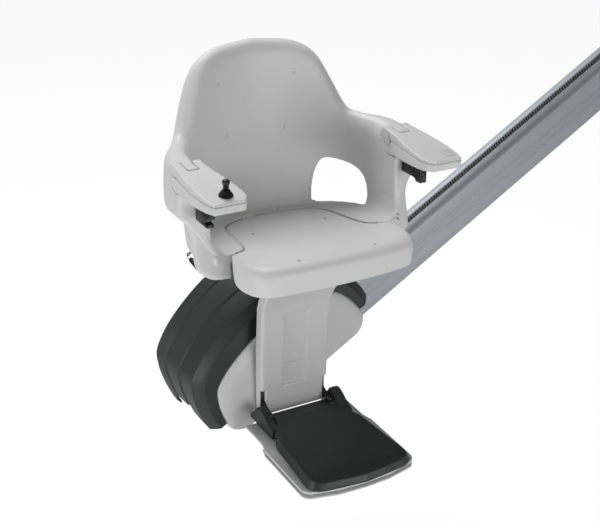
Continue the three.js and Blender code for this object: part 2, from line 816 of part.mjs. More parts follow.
const carriageFrame = () => {
  const length = carriage.bridgeLength;
  const shoulder = carriage.coverShoulder + carriage.plateThickness;
  const foot = carriage.coverBottom + carriage.plateThickness;
  const wide = carriage.coverLength - carriage.plateThickness * 3;
  const outline = [
    [-length, foot], [length, foot], [wide, shoulder], [wide, carriage.tunnelHeight],
    [length, bridgeTop], [-length, bridgeTop], [-wide, carriage.tunnelHeight], [-wide, shoulder],
  ];
  const front = prismY(outline, carriage.plateFront, plateBack);
  const bridge = box(-length, length, carriage.plateFront, flangeBack, carriage.bridgeHeight, bridgeTop);
  const flange = box(-length, length, carriage.flangeFront, flangeBack, carriage.flangeFoot, bridgeTop);
  const hangers = [];
  [-1, 1].forEach((side) => {
    const reach = roller.hangerWidth * half;
    const low = side * roller.spread;
    const high = side * roller.backSpread;
    const lowTop = sideHeight + roller.sideWidth + gap + roller.hangerThickness;
    hangers.push(box(low - reach, low + reach, plateBack - overrun, frontRollerPlace + reach * half,
      lowTop - roller.hangerThickness, lowTop));
    const highFoot = backRollerFoot + roller.sideWidth + gap;
    hangers.push(box(high - reach, high + reach, backRollerPlace - reach * half,
      carriage.flangeFront + overrun, highFoot, highFoot + roller.hangerThickness));
  });
  const motorHole = rodZ(drive.motorRadius + runningGap, carriage.bridgeHeight - overrun,
    bridgeTop + overrun, 0, pinionPlace);
  const lugs = [-1, 1].map((side) => prismY([
    [side * length, carriage.lugFoot],
    [side * (hoodReach(carriage.plateFront, carriage.lugFoot) - gap), carriage.lugFoot],
    [side * (hoodReach(carriage.plateFront, carriage.lugTop) - gap), carriage.lugTop],
    [side * length, carriage.lugTop],
  ], carriage.plateFront, plateBack));
  const tools = [motorHole];
  [-1, 1].forEach((side) => {
    const hub = roller.hubRadius + gap;
    tools.push(rodY(hub, carriage.flangeFront - overrun, flangeBack + overrun, side * roller.spread,
      trackCentre, smallRound));
    const lowTop = sideHeight + roller.sideWidth;
    tools.push(rodZ(hub, lowTop - overrun, lowTop + roller.hangerThickness * 2, side * roller.spread,
      frontRollerPlace, smallRound));
    const highFoot = backRollerFoot + roller.sideWidth;
    tools.push(rodZ(hub, highFoot - overrun, highFoot + roller.hangerThickness * 2,
      side * roller.backSpread, backRollerPlace, smallRound));
  });
  return cut(join(front, bridge, flange, ...hangers, ...lugs), ...tools);
};
place(carriageGroup, 'carriage_frame', carriageFrame(), blackSteel);

// Rollers turn about axles that end in a head. A roller and its axle are one turned piece.
const rollerProfile = (radius, width, stem) => [
  [0, 0], [radius - roller.crown, 0], [radius, roller.crown], [radius, width - roller.crown],
  [radius - roller.crown, width], [roller.hubRadius, width], [roller.hubRadius, width + stem],
  [0, width + stem],
];
const sideStem = roller.hangerThickness + roller.axleHead;
[['lower', -1], ['upper', 1]].forEach(([end, side]) => {
  const trackStem = flangeBack - trackFront - roller.trackWidth + roller.axleHead;
  const track = turned(rollerProfile(roller.trackRadius, roller.trackWidth, trackStem))
    .applyMatrix4(basis(axisX.clone().negate(), axisZ, axisY))
    .translate(side * roller.spread, trackFront, trackCentre);
  place(carriageGroup, `track_roller_${end}`, track, rubber);
  const front = turned(rollerProfile(roller.sideRadius, roller.sideWidth, sideStem), sideRound)
    .translate(side * roller.spread, frontRollerPlace, sideHeight);
  place(carriageGroup, `front_roller_${end}`, front, rubber);
  const back = turned(rollerProfile(roller.sideRadius, roller.sideWidth, sideStem), sideRound)
    .translate(side * roller.backSpread, backRollerPlace, backRollerFoot);
  place(carriageGroup, `back_roller_${end}`, back, rubber);
});

// Drive pinion on its shaft, gearbox, motor, batteries and control board

const pinionOutline = () => {
  const points = [];
  const pitchRadius = gear.module * gear.pinionTeeth * half;
  for (let tooth = 0; tooth < gear.pinionTeeth; tooth += 1) {
    const centre = Math.PI * half + (tooth * Math.PI * 2) / gear.pinionTeeth;
    gear.toothShares.forEach(([across, out]) => {
      const radius = pitchRadius + gear.module * out;
      const angle = centre + (across * gear.module) / radius;
      points.push([radius * Math.cos(angle), radius * Math.sin(angle)]);
    });
  }
  return points;
};
const pinionFoot = rackFoot + (gear.rackHeight - gear.pinionWidth) * half;
const pinionSolid = join(
  prismZ(pinionOutline(), pinionFoot, pinionFoot + gear.pinionWidth),
  rodZ(gear.shaftRadius, pinionFoot, drive.boxFoot + drive.boxHeight * half),
).translate(0, pinionPlace, 0);
place(carriageGroup, 'drive_pinion', pinionSolid, steel);

const boxHalf = drive.boxLength * half;
const boxTop = drive.boxFoot + drive.boxHeight;
place(carriageGroup, 'gearbox', cut(
  box(-boxHalf, boxHalf, drive.boxFront, drive.boxBack, drive.boxFoot, boxTop),
  rodZ(gear.shaftRadius + gap, drive.boxFoot - overrun, drive.boxFoot + drive.boxHeight * half + gap,
    0, pinionPlace),
), aluminium);
const motorFoot = boxTop + gap;
place(carriageGroup, 'drive_motor', turned([
  [0, 0], [drive.motorRadius, 0], [drive.motorRadius, drive.motorHeight * drive.motorShoulderShare],
  [drive.motorRadius * drive.motorNeckShare, drive.motorHeight * drive.motorNeckShare],
  [drive.motorRadius * drive.motorNeckShare, drive.motorHeight], [0, drive.motorHeight],
]).translate(0, pinionPlace, motorFoot), blackSteel);

[['lower', -1], ['upper', 1]].forEach(([end, side]) => {
  const near = side * drive.batteryStart;
  const far = side * (drive.batteryStart + drive.batteryLength);
  const floor = bridgeTop + gap;
  const body = box(Math.min(near, far), Math.max(near, far), drive.batteryFront,
    drive.batteryFront + drive.batteryDepth, floor, floor + drive.batteryHeight);
  const posts = drive.terminalShares.map((share) => rodZ(drive.terminalRadius, floor + drive.batteryHeight - overrun,
    floor + drive.batteryHeight + drive.terminalHeight, near + (far - near) * share,
    drive.batteryFront + drive.batteryDepth * half));
  place(carriageGroup, `battery_${end}`, join(body, ...posts), black);
});

const boardBack = carriage.plateFront - gap;
const board = () => {
  const halfLength = drive.boardLength * half;
  const left = drive.boardPlace - halfLength;
  const right = drive.boardPlace + halfLength;
  const top = drive.boardFoot + drive.boardHeight;
  const front = boardBack - drive.postHeight - drive.boardThickness;
  const plate = box(left, right, front, front + drive.boardThickness, drive.boardFoot, top);
  const inset = drive.postRadius * 2;
  const extras = [];
  [left + inset, right - inset].forEach((x) => {
    [drive.boardFoot + inset, top - inset].forEach((z) => {
      extras.push(rodY(drive.postRadius, front + drive.boardThickness * half, boardBack, x, z, smallRound));
    });
  });
  drive.chipShares.forEach((share) => {
    const x = left + drive.boardLength * share;
    const z = drive.boardFoot + drive.boardHeight * half;
    extras.push(box(x - drive.chipSize * half, x + drive.chipSize * half, front - drive.chipHeight,
      front + drive.boardThickness * half, z - drive.chipSize, z + drive.chipSize));
  });
  return join(plate, ...extras);
};
place(carriageGroup, 'control_board', board(), boardGreen);

// Footrest column: folded cover with a recessed panel and two slots for the hinge brackets

const columnSection = ([height, width, front]) => {
  const back = front + column.sideDepth;
  const wall = column.wall;
  const edge = column.edge;
  const inner = width - wall;
  return [
    [-width, back], [-width, front + edge], [-width + edge * 0.3, front + edge * 0.3],
    [-width + edge, front], [width - edge, front], [width - edge * 0.3, front + edge * 0.3],
    [width, front + edge], [width, back], [inner, back], [inner, front + wall + column.recessDepth],
    [-inner, front + wall + column.recessDepth], [-inner, back],
  ].map(([x, y]) => point(x, y, height));
};
const columnFrontAt = (height) => between(columnStations, height)[2];
const columnCover = () => {
  const body = loft(columnStations.map(columnSection));
  const recess = (bottom, top, halfWidth, depth) => {
    const heights = [bottom, ...columnStations.map((s) => s[0]).filter((z) => z > bottom && z < top), top];
    return loft(heights.map((height) => {
      const front = columnFrontAt(height);
      return [[-halfWidth, front - overrun * 3], [halfWidth, front - overrun * 3],
        [halfWidth - depth * half, front + depth], [-halfWidth + depth * half, front + depth]]
        .map(([x, y]) => point(x, y, height));
    }));
  };
  const tools = [
    recess(column.recessBottom, column.recessTop, column.recessHalf, column.recessDepth),
    recess(column.seamPlace, column.seamPlace + column.seamWidth, column.recessHalf - column.recessDepth,
      column.recessDepth + column.seamWidth),
  ];
  [-1, 1].forEach((side) => {
    const inner = side * column.slotInner;
    const outer = side * (columnStations[0][1] + overrun);
    tools.push(box(Math.min(inner, outer), Math.max(inner, outer), columnStations[0][2] - overrun,
      columnStations[0][2] + column.wall + column.recessDepth + overrun, column.foot - overrun, column.slotTop));
  });
  return cut(body, ...tools);
};
place(chairGroup, 'footrest_column_cover', columnCover(), lightGrey);

const spineFront = column.spineBack - column.spineDepth;
const headFront = swivel.back - swivel.postRadius;
const columnSpine = () => {
  const plate = box(-column.spineHalf, column.spineHalf, spineFront, column.spineBack,
    column.spineFoot, column.spineTop);
  const neck = box(-column.neckHalf, column.neckHalf, column.spineBack - overrun,
    carriage.plateFront - gap, neckFoot, neckTop);
  const hollow = box(-column.neckHalf + column.wall, column.neckHalf - column.wall, column.spineBack,
    carriage.plateFront, neckFoot + column.wall, neckTop - column.wall);
  const head = box(-swivel.headHalf, swivel.headHalf, headFront, column.spineBack,
    column.spineTop - overrun, swivel.headTop);
  const halfHead = swivel.headHalf * 0.7;
  const arms = [-1, 1].map((side) => prismX([
    [spineFront, column.spineTop - swivel.headHalf * 2], [spineFront + overrun, column.spineTop],
    [headFront + halfHead, column.spineTop],
  ], side * halfHead - column.wall, side * halfHead + column.wall));
  const tube = box(-foot.bracketInner, foot.bracketInner, spineFront, column.spineBack,
    column.spineFoot - foot.plateThickness * 3, column.spineFoot + overrun);
  return cut(join(plate, neck, head, tube, ...arms), hollow);
};
place(chairGroup, 'column_spine', columnSpine(), blackSteel);

// Footrest hinge brackets lie in the column's slots; the pins run through them into the ears.
const bracketOutline = [
  [column.spineBack, column.spineFoot], [column.spineBack, column.spineFoot - foot.plateThickness * 3],
  [foot.hingeBack + foot.pinRadius, foot.padFoot + gap * 2],
  ...arc(foot.hingeBack, foot.hingeHeight, foot.pinRadius * 2.6, 270, 60, 8),
  [spineFront - foot.plateThickness, column.spineFoot + foot.plateThickness * 3],
  [column.spineBack, column.spineFoot + foot.plateThickness * 3],
];
const pinEnd = foot.earOuter - foot.edge;
const sides = [['left', 1], ['right', -1]];
const spanX = (side, inner, outer) => [Math.min(side * inner, side * outer), Math.max(side * inner, side * outer)];
sides.forEach(([name, side]) => {
  const [x0, x1] = spanX(side, foot.bracketInner + gap, foot.bracketOuter);
  place(chairGroup, `footrest_bracket_${name}`, cut(
    prismX(bracketOutline, x0, x1),
    rodX(foot.pinRadius + gap, x0 - overrun, x1 + overrun, foot.hingeBack, foot.hingeHeight),
  ), black);
  const [p0, p1] = spanX(side, foot.bracketInner - gap, pinEnd);
  place(chairGroup, `footrest_hinge_pin_${name}`,
    rodX(foot.pinRadius, p0, p1, foot.hingeBack, foot.hingeHeight), steel);
});

// Footrest pad with ears, base plate and sprung safety plate

const padOutline = (grow) => {
  const side = padShares.map(([before, wide]) => [
    wide === 0 ? 0 : wide * foot.padHalf + grow,
    -before * foot.padFront - (wide === 0 ? grow : grow * half),
  ]);
  const full = [[foot.bracketOuter, -foot.slotFront], ...side];
  return [...mirrorX(full.slice(0, -1)).reverse(), ...full.reverse()];
};
const padSolid = () => {
  const level = (grow, height) => padOutline(grow).map(([x, y]) => point(x, y, height));
  const tray = loft([
    level(foot.draft, foot.padFoot), level(foot.draft, foot.padFoot + foot.edge),
    level(foot.edge * half, foot.padTop - foot.edge), level(0, foot.padTop - foot.edge * 0.3),
    level(-foot.edge, foot.padTop),
  ]);
  const tip = -foot.padFront - foot.draft - overrun;
  const lip = prismX([
    [foot.padLip - foot.padFront, foot.padTop], [foot.padLip * half - foot.padFront, foot.padTop - foot.padLipDrop * 0.3],
    [tip, foot.padTop - foot.padLipDrop], [tip, foot.padTop + overrun],
    [foot.padLip - foot.padFront, foot.padTop + overrun],
  ].reverse(), -foot.padHalf * 2, foot.padHalf * 2);
  const rear = prismX([
    [-foot.padRear, foot.padFoot], [-foot.padRear, foot.padRearTop], [-foot.slotFront * half, foot.padRearTop + foot.edge],
    [-foot.slotFront, foot.padTop - foot.edge * half], [-foot.slotFront * 1.3, foot.padTop - gap],
    [-foot.slotFront * 1.4, foot.padTop - foot.edge], [-foot.slotFront * 1.4, foot.padFoot],
  ], -foot.bracketInner + runningGap, foot.bracketInner - runningGap);
  const earOutline = [
    [0, foot.padFoot], [-foot.slotFront * 1.5, foot.padFoot], [-foot.slotFront * 1.5, foot.padTop - foot.edge],
    [-foot.slotFront * 1.15, foot.padTop + foot.edge], [-foot.slotFront * 0.95, foot.padTop + foot.edge * 3],
    ...arc(foot.hingeBack, foot.hingeHeight, foot.slotFront * 0.34, 120, 20, 6),
    [-foot.edge, foot.padTop - foot.edge * 2], [0, foot.padFoot + foot.edge * 2],
  ];
  const ears = [-1, 1].map((side) => {
    const inner = side * foot.earInner;
    const outer = side * foot.earOuter;
    return prismX(earOutline, Math.min(inner, outer), Math.max(inner, outer));
  });
  const bores = [-1, 1].map((side) => {
    const inner = side * (foot.earInner - overrun);
    const outer = side * (pinEnd + gap);
    return rodX(foot.pinRadius + gap, Math.min(inner, outer), Math.max(inner, outer), foot.hingeBack, foot.hingeHeight);
  });
  const slots = [-1, 1].map((side) => {
    const inner = side * (foot.bracketInner - runningGap);
    const outer = side * (foot.earInner);
    return box(Math.min(inner, outer), Math.max(inner, outer), -foot.slotFront, overrun,
      foot.padFoot - overrun, foot.padTop + foot.edge * 6);
  });
  return cut(join(cut(tray, lip), rear, ...ears), ...bores, ...slots);
};
place(chairGroup, 'footrest_pad', padSolid(), darkGrey);

const plateOutline = (rear, grow) => {
  const corner = foot.edge * 5;
  const wide = foot.plateHalf + grow;
  const side = [
    [foot.plateNeck + grow, -rear], [foot.plateNeck + grow, -Math.max(rear, foot.treadleRear)],
    [wide, -Math.max(rear, foot.treadleRear + corner)],
    ...arc(wide - corner, -foot.plateFront + corner * 1.6, corner, 0, -62, 4),
    [wide * 0.45, -foot.plateFront + foot.edge * 0.6], [0, -foot.plateFront],
  ];
  return [...side.slice(0, -1).reverse(), ...mirrorX(side).reverse()].reverse();
};
const plateTop = foot.padFoot - gap;
const plateFootZ = plateTop - foot.plateThickness;
const basePlate = () => {
  const plate = prismZ(plateOutline(foot.padRear + foot.edge, 0), plateFootZ, plateTop);
  const slots = [-1, 1].map((side) => {
    const inner = side * (foot.bracketInner - runningGap);
    const outer = side * foot.earInner;
    return box(Math.min(inner, outer), Math.max(inner, outer), -foot.slotFront, overrun,
      plateFootZ - overrun, plateTop + overrun);
  });
  const bores = springShares.map(([, u, v]) => rodZ(foot.springRadius + gap * 2, plateFootZ - overrun,
    plateTop + overrun, u * foot.plateHalf, -v * foot.plateFront, smallRound));
  return cut(plate, ...slots, ...bores);
};
place(chairGroup, 'footrest_base_plate', basePlate(), lightGrey);

const treadleTop = plateFootZ - foot.treadleDrop;
place(chairGroup, 'footrest_safety_plate',
  prismZ(plateOutline(foot.treadleRear, 0), treadleTop - foot.treadleThickness, treadleTop), lightGrey);
springShares.forEach(([name, u, v]) => {
  place(chairGroup, `safety_plate_spring_${name}`, rodZ(foot.springRadius, treadleTop + gap,
    plateFootZ + foot.springEngagement, u * foot.plateHalf, -v * foot.plateFront, smallRound), steel);
});

// Swivel post, index plate and turntable

const post = turned([
  [swivel.postBore, swivel.headTop + gap], [swivel.postRadius, swivel.headTop + gap],
  [swivel.postRadius, swivel.postTop], [swivel.plateRadius, swivel.postTop],
  [swivel.plateRadius, swivel.postTop + swivel.plateThickness], [swivel.postBore, swivel.postTop + swivel.plateThickness],
  [swivel.postBore, swivel.headTop + gap],
]).translate(0, swivel.back, 0);
place(chairGroup, 'swivel_post', post, steel);

// Everything on the seat plane is built level and then sheared to the seat's rise.
const shearToSeat = (geometry) => {
  const matrix = new THREE.Matrix4();
  matrix.makeShear(0, 0, 0, -seat.rise, 0, 0);
  return geometry.applyMatrix4(matrix);
};
const seatHeightAt = (y) => -seat.rise * y;

const frameTop = -seat.floorThickness - gap;
const frameFoot = frameTop - frame.tube;
const turntableTop = swivel.postTop + swivel.plateThickness + gap;
const saddle = () => {
  const low = box(-swivel.saddleHalf, swivel.saddleHalf, swivel.back - swivel.saddleHalf,
    swivel.back + swivel.saddleHalf, turntableTop, turntableTop + swivel.plateThickness);
  const halfWidth = swivel.saddleHalf * 0.8;
  const rise = (y) => frameFoot + seatHeightAt(y) - gap;
  const near = swivel.back - halfWidth;
  const far = swivel.back + halfWidth;
  const wedge = prismX([
    [near, turntableTop + overrun], [far, turntableTop + overrun], [far, rise(far)], [near, rise(near)],
  ], -halfWidth, halfWidth);
  const spigot = rodZ(swivel.postBore - runningGap * half, swivel.headTop + gap * 3, turntableTop + overrun, 0, swivel.back);
  return join(low, wedge, spigot);
};
place(chairGroup, 'turntable', saddle(), blackSteel);

const seatFrame = () => {
  const width = frame.tube * half;
  const bars = [-1, 1].map((side) => box(side * frame.sidePlace - width, side * frame.sidePlace + width,
    -frame.front, frame.rear, frameFoot, frameTop));
  [frame.frontCross, frame.rearCross].forEach((y) => {
    bars.push(box(-frame.crossHalf, frame.crossHalf, y - width, y + width, frameFoot, frameTop));
  });
  bars.push(box(-swivel.saddleHalf, swivel.saddleHalf, swivel.back - swivel.saddleHalf,
    swivel.back + swivel.saddleHalf, frameFoot, frameFoot + frame.wall * 2));
  [-1, 1].forEach((side) => {
    bars.push(box(Math.min(0, side * frame.sidePlace), Math.max(0, side * frame.sidePlace), swivel.back - width,
      swivel.back + width, frameFoot, frameFoot + frame.tube * half));
  });
  return shearToSeat(join(...bars));
};
place(chairGroup, 'seat_frame', seatFrame(), blackSteel);

// Seat shell: a moulded bowl with a rolled rim, open below

const bowl = (degrees) => {
  const angle = THREE.MathUtils.degToRad(degrees);
  const power = 2 / seat.bowPower;
  return [
    seat.innerHalfWidth * Math.cos(angle) ** power,
    seat.innerDepth * Math.sin(angle) ** power,
  ];
};
const bowlNormal = (x, y) => {
  const power = seat.bowPower - 1;
  const across = (x / seat.innerHalfWidth) ** power / seat.innerHalfWidth;
  const back = (Math.max(0, y) / seat.innerDepth) ** power / seat.innerDepth;
  const length = Math.hypot(across, back);
  return [across / length, back / length];
};

// The wall's section, by distance out from the inner face and by height, rim included.
const wallSection = (thickness, rim, floor) => [
  ...filletShares.map(([u, v]) => [u * seat.floorFillet, floor + v * seat.floorFillet]),
  [0, (floor + rim) * half],
  ...rimInnerShares.map(([u, v]) => [u * seat.rimInner, rim - v * seat.rimInner]),
  ...rimOuterShares.map(([u, v]) => [thickness - u * seat.rimOuter, rim - v * seat.rimOuter]),
  ...legShares.map(([u, v]) => [thickness - u * seat.legInset, v * seat.stepHeight]),
  [Math.max(filletShares[2][0] * seat.floorFillet, thickness - heelShares[0][0] * seat.legInset),
    heelShares[0][1] * seat.stepHeight],
  [heelShares[1][0] * seat.floorFillet, heelShares[1][1] * seat.stepHeight],
];

const shellStations = () => {
  const stations = [];
  const straight = [seat.sideFront, seat.sideFront * half];
  straight.forEach((before) => stations.push({
    x: seat.innerHalfWidth, y: -before, n: [1, 0], rim: rimStations[0][1], share: 0,
  }));
  rimStations.forEach(([degrees, rim]) => {
    const [x, y] = bowl(degrees);
    stations.push({ x, y, n: bowlNormal(x, y), rim, share: degrees / 90 });
  });
  return stations;
};

// The cavity inside the wall follows these points of the section.
const cavityPoints = [0, 2, 3, 5, 7, 10, 12, 13, 14, 16, 18, 19];

const shellLoft = (inset) => {
  const stations = shellStations();
  const section = (station, mirror, first) => {
    const { x, y, n, rim, share } = station;
    const thickness = seat.sideWall + (seat.backWall - seat.sideWall) * smooth(share, 0.1, 0.7);
    const outline = wallSection(thickness, rim, seatHeightAt(y));
    const points = inset > 0
      ? offset(outline.slice().reverse(), -inset).reverse().filter((_, i) => cavityPoints.includes(i))
      : outline;
    if (inset > 0) {
      points[0][1] = seatHeightAt(y) - seat.floorThickness;
      points[points.length - 1][1] = -seat.footFront;
      points[points.length - 1][0] = points[0][0];
    }
    return points.map(([d, z]) => {
      let forward = 0;
      if (first) {
        const sweep = Math.max(0, d) / seat.sideWall;
        forward = (seat.footFront - seat.sideFront) * smooth(-z, -seat.sweepTop, -seat.sweepFoot)
          - seat.sideSweep * sweep;
        forward -= inset;
      }
      return point((x + n[0] * d) * mirror, y + n[1] * d - forward, z);
    });
  };
  const right = stations.map((s, i) => section(s, 1, i === 0));
  const left = stations.slice(0, -1).map((s, i) => section(s, -1, i === 0)).reverse();
  return loft([...right, ...left]);
};

const halfPanel = [
  ...panelRearShares.map(([u, v]) => [u * panel.halfWidth, v * panel.rear]),
  ...panelFrontShares.map(([u, v]) => [u * panel.halfWidth, v * panel.front]),
];
const panelOutline = (grow) => {
  const left = halfPanel.slice(1, -1).map(([x, y]) => [-x, y]);
  return offset([...halfPanel, ...left.reverse()].reverse(), grow);
};

const floorSolid = () => {
  const steps = 12;
  const back = Array.from({ length: steps * 2 + 1 }, (_, i) => {
    const [x, y] = bowl(90 - Math.abs(90 - (90 * i) / steps));
    return [i > steps ? -x - overrun : x + overrun, y + overrun];
  });
  const front = overrun - seat.footFront;
  const outline = [...back, [-seat.innerHalfWidth - overrun, front], [seat.innerHalfWidth + overrun, front]];
  return shearToSeat(prismZ(outline, -seat.floorThickness, 0));
};

const armTopAt = (y) => arm.pivotHeight + arm.rearRise
  + ((arm.frontRise - arm.rearRise) * (arm.rootFront - y)) / arm.length;
const tongueInner = armInner + arm.tongueInset;
const armEnvelope = (inner, outer) => {
  const reach = arm.hingeRadius + runningGap;
  const top = rimStations[0][1] + seat.sideWall;
  return join(
    rodX(reach, inner, outer, arm.pivotBack, arm.pivotHeight),
    box(inner, outer, -arm.length - seat.footFront, arm.pivotBack, arm.pivotHeight - reach, top),
    box(inner, outer, arm.pivotBack, arm.rootFront + gap, arm.pivotHeight, top),
  );
};

const windowTool = (side, lining) => {
  const height = sideWindow.top - sideWindow.bottom;
  const opening = windowShares.map(([u, v]) => [u * sideWindow.halfWidth, sideWindow.bottom + v * height]);
  const outline = offset(opening.reverse(), lining).reverse();
  const tool = prismY(outline, -sideWindow.reachIn, sideWindow.reachOut);
  tool.rotateZ(THREE.MathUtils.degToRad(sideWindow.turnDegrees - 90));
  tool.translate(seat.innerHalfWidth - sideWindow.centreInset, sideWindow.centreBack, 0);
  return side < 0 ? mirrored(tool) : tool;
};

const seatShell = () => {
  const outer = join(shellLoft(0), floorSolid());
  const panelHole = shearToSeat(prismZ(panelOutline(panel.seam), -seat.footFront, seat.footFront));
  const inner = armInner - seat.sideWall * half;
  const end = armOuter + seat.sideWall * half;
  const envelopes = [armEnvelope(inner, end), armEnvelope(-end, -inner)];
  const fixings = [];
  backHoleShares.forEach(([u, v]) => {
    [-1, 1].forEach((side) => fixings.push(rodY(seat.holeRadius, seat.innerDepth - seat.sideWall,
      seat.innerDepth + seat.holeDepth * half, side * u * seat.innerHalfWidth, v * seat.backRim, smallRound)));
  });
  const bosses = sides.flatMap(([, side]) => [
    spanX(side, panel.knuckleStart - panel.bossLength, panel.knuckleStart - runningGap),
    spanX(side, panel.knuckleEnd + runningGap, panel.knuckleEnd + panel.bossLength),
  ]).map(([x0, x1]) => rodX(panel.knuckleRadius, x0, x1, panel.knuckleBack, seatHeightAt(panel.knuckleBack)));
  const notches = sides.map(([, side]) => {
    const [x0, x1] = spanX(side, panel.knuckleStart - runningGap, panel.knuckleEnd + runningGap);
    return box(x0, x1, panel.rear - panel.knuckleRadius * 2, panel.knuckleBack + panel.knuckleRadius + runningGap,
      -seat.footFront, seat.footFront * half);
  });
  const pinBores = sides.map(([, side]) => {
    const [x0, x1] = spanX(side, panel.knuckleStart - panel.bossLength - overrun,
      panel.knuckleEnd + panel.bossLength + gap);
    return rodX(panel.knucklePin + gap, x0, x1, panel.knuckleBack, seatHeightAt(panel.knuckleBack), smallRound);
  });
  const cavity = cut(shellLoft(seat.skin), ...[1, -1].map((side) => windowTool(side, seat.skin)));
  const windows = [1, -1].map((side) => windowTool(side, 0));
  const hollowed = cut(outer, cavity, panelHole, ...windows, ...envelopes, ...fixings);
  const bodied = cut(join(hollowed, ...bosses), ...notches, ...pinBores);
  const tongues = [-1, 1].map((side) => {
    const [a, b] = spanX(side, tongueInner, tongueInner + arm.tongueWidth);
    const reach = arm.tongueRadius;
    const rootBack = arm.rootFront + seat.skin * 2;
    const block = prismX([
      [rootBack, arm.pivotHeight - reach], [rootBack, armTopAt(rootBack)],
      [arm.pivotBack, armTopAt(arm.pivotBack)], [arm.pivotBack, arm.pivotHeight - reach],
    ], a, b);
    const nose = cut(rodX(reach, a, b, arm.pivotBack, arm.pivotHeight),
      box(a - overrun, b + overrun, arm.pivotBack - reach * 2, arm.pivotBack + reach * 2,
        armTopAt(arm.pivotBack), armTopAt(arm.pivotBack) + reach));
    return cut(join(block, nose), rodX(arm.pinRadius + gap, a - overrun, b + overrun,
      arm.pivotBack, arm.pivotHeight, smallRound));
  });
  return join(bodied, ...tongues);
};
place(chairGroup, 'seat_shell', seatShell(), shellGrey);

// Seat panel: a lid with a deep front skirt

const panelSolid = () => {
  const outline = panelOutline(0);
  const frontness = (y) => smooth(-y, panel.skirtStart, panel.skirtStart + panel.seam * 9);
  const radiusAt = (y) => panel.rearRadius
    + (panel.frontRadius - panel.rearRadius) * smooth(-y, panel.skirtStart * 1.5, panel.front * 0.9);
  const footAt = (y) => -panel.thickness - (panel.skirtDepth - panel.thickness) * frontness(y);
  const ring = (inset, levelAt) => {
    return outline.map((p, i) => {
      const before = outline[(i + outline.length - 1) % outline.length];
      const after = outline[(i + 1) % outline.length];
      const t = [after[0] - before[0], after[1] - before[1]];
      const length = Math.hypot(t[0], t[1]);
      const distance = inset(p[1]);
      return point(p[0] - (t[1] / length) * distance, p[1] + (t[0] / length) * distance, levelAt(p[1]));
    });
  };
  const outer = loft([
    ring((y) => 2 * frontness(y) * panel.rearRadius, footAt),
    ring((y) => frontness(y) * panel.rearRadius * half, (y) => footAt(y) + panel.rearRadius * (1 + frontness(y) * 2)),
    ring(() => 0, (y) => -radiusAt(y)),
    ring((y) => radiusAt(y) * 0.3, (y) => -radiusAt(y) * 0.3),
    ring((y) => radiusAt(y), () => 0),
  ]);
  const wall = panel.skirtWall;
  const inner = loft([
    ring((y) => wall + frontness(y) * panel.rearRadius * 2, () => -panel.skirtDepth - overrun),
    ring((y) => wall + frontness(y) * panel.rearRadius * half, (y) => -radiusAt(y) - wall),
    ring((y) => wall + radiusAt(y), () => -wall),
  ]);
  const holes = [];
  seatHoleShares.forEach(([u, v]) => {
    [-1, 1].forEach((side) => holes.push(rodZ(seat.holeRadius, -seat.holeDepth * half, overrun,
      side * u * panel.halfWidth, -v * panel.front, smallRound)));
  });
  const knuckles = sides.flatMap(([, side]) => {
    const [x0, x1] = spanX(side, panel.knuckleStart, panel.knuckleEnd);
    return [
      rodX(panel.knuckleRadius, x0, x1, panel.knuckleBack, 0),
      box(x0, x1, panel.rear - panel.knuckleRadius * 2, panel.knuckleBack, -panel.knuckleRadius, 0),
    ];
  });
  const bores = sides.map(([, side]) => {
    const [x0, x1] = spanX(side, panel.knuckleStart - overrun, panel.knuckleEnd + overrun);
    return rodX(panel.knucklePin + gap, x0, x1, panel.knuckleBack, 0, smallRound);
  });
  return shearToSeat(cut(join(cut(outer, inner, ...holes), ...knuckles), ...bores));
};
place(chairGroup, 'seat_panel', panelSolid(), shellGrey);

// Seat panel hinge pins run through the panel's knuckles and the shell's bosses.
sides.forEach(([name, side]) => {
  const [x0, x1] = spanX(side, panel.knuckleStart - panel.bossLength, panel.knuckleEnd + panel.bossLength);
  place(chairGroup, `seat_hinge_pin_${name}`,
    rodX(panel.knucklePin, x0, x1, panel.knuckleBack, seatHeightAt(panel.knuckleBack), smallRound), steel);
});

// Arms: lower and upper half shells clamped round the hinge pin

const armOutline = () => {
  const inner = armStations.map(([before, x]) => [x, arm.pivotBack - before]);
  const outer = armStations.map(([before, , x]) => [x, arm.pivotBack - before]).reverse();
  const rear = arm.hingeRadius + overrun;
  return [[armStations[0][1], arm.pivotBack + rear], ...inner, ...outer, [armStations[0][2], arm.pivotBack + rear]];
};
const armSide = () => {
  const front = arm.rootFront - arm.length;
  const bottom = arm.pivotHeight - arm.hingeRadius;
  const cornerDegrees = THREE.MathUtils.radToDeg(
    Math.atan2(armTopAt(arm.rootFront) - arm.pivotHeight, arm.rootFront - arm.pivotBack));
  return [
    [front, armTopAt(front)], [front, arm.pivotHeight - arm.frontDrop], [arm.pivotBack, bottom],
    ...arc(arm.pivotBack, arm.pivotHeight, arm.hingeRadius, 270, 360 + cornerDegrees, 9).slice(1),
  ].reverse();
};
const armBody = () => {
  const plan = prismZ(armOutline(), arm.pivotHeight - arm.length, arm.pivotHeight + arm.length);
  const side = prismX(armSide(), 0, armOuter + arm.length);
  const whole = fromManifold(toManifold(plan).intersect(toManifold(side)));
  const slotReach = arm.tongueRadius + runningGap;
  const inner = tongueInner - runningGap;
  const outer = tongueInner + arm.tongueWidth + runningGap;
  const slot = join(
    rodX(slotReach, inner, outer, arm.pivotBack, arm.pivotHeight),
    box(inner, outer, arm.pivotBack, arm.pivotBack + arm.hingeRadius * 2, arm.pivotHeight - arm.hingeRadius * 2,
      arm.pivotHeight + arm.hingeRadius * 2),
  );
  const bore = rodX(arm.pinRadius + gap, armInner - arm.length, armOuter + arm.length,
    arm.pivotBack, arm.pivotHeight, smallRound);
  return cut(whole, slot, bore);
};
const seamAt = (y) => arm.pivotHeight + (arm.seamRise * (arm.pivotBack - y)) / arm.length;
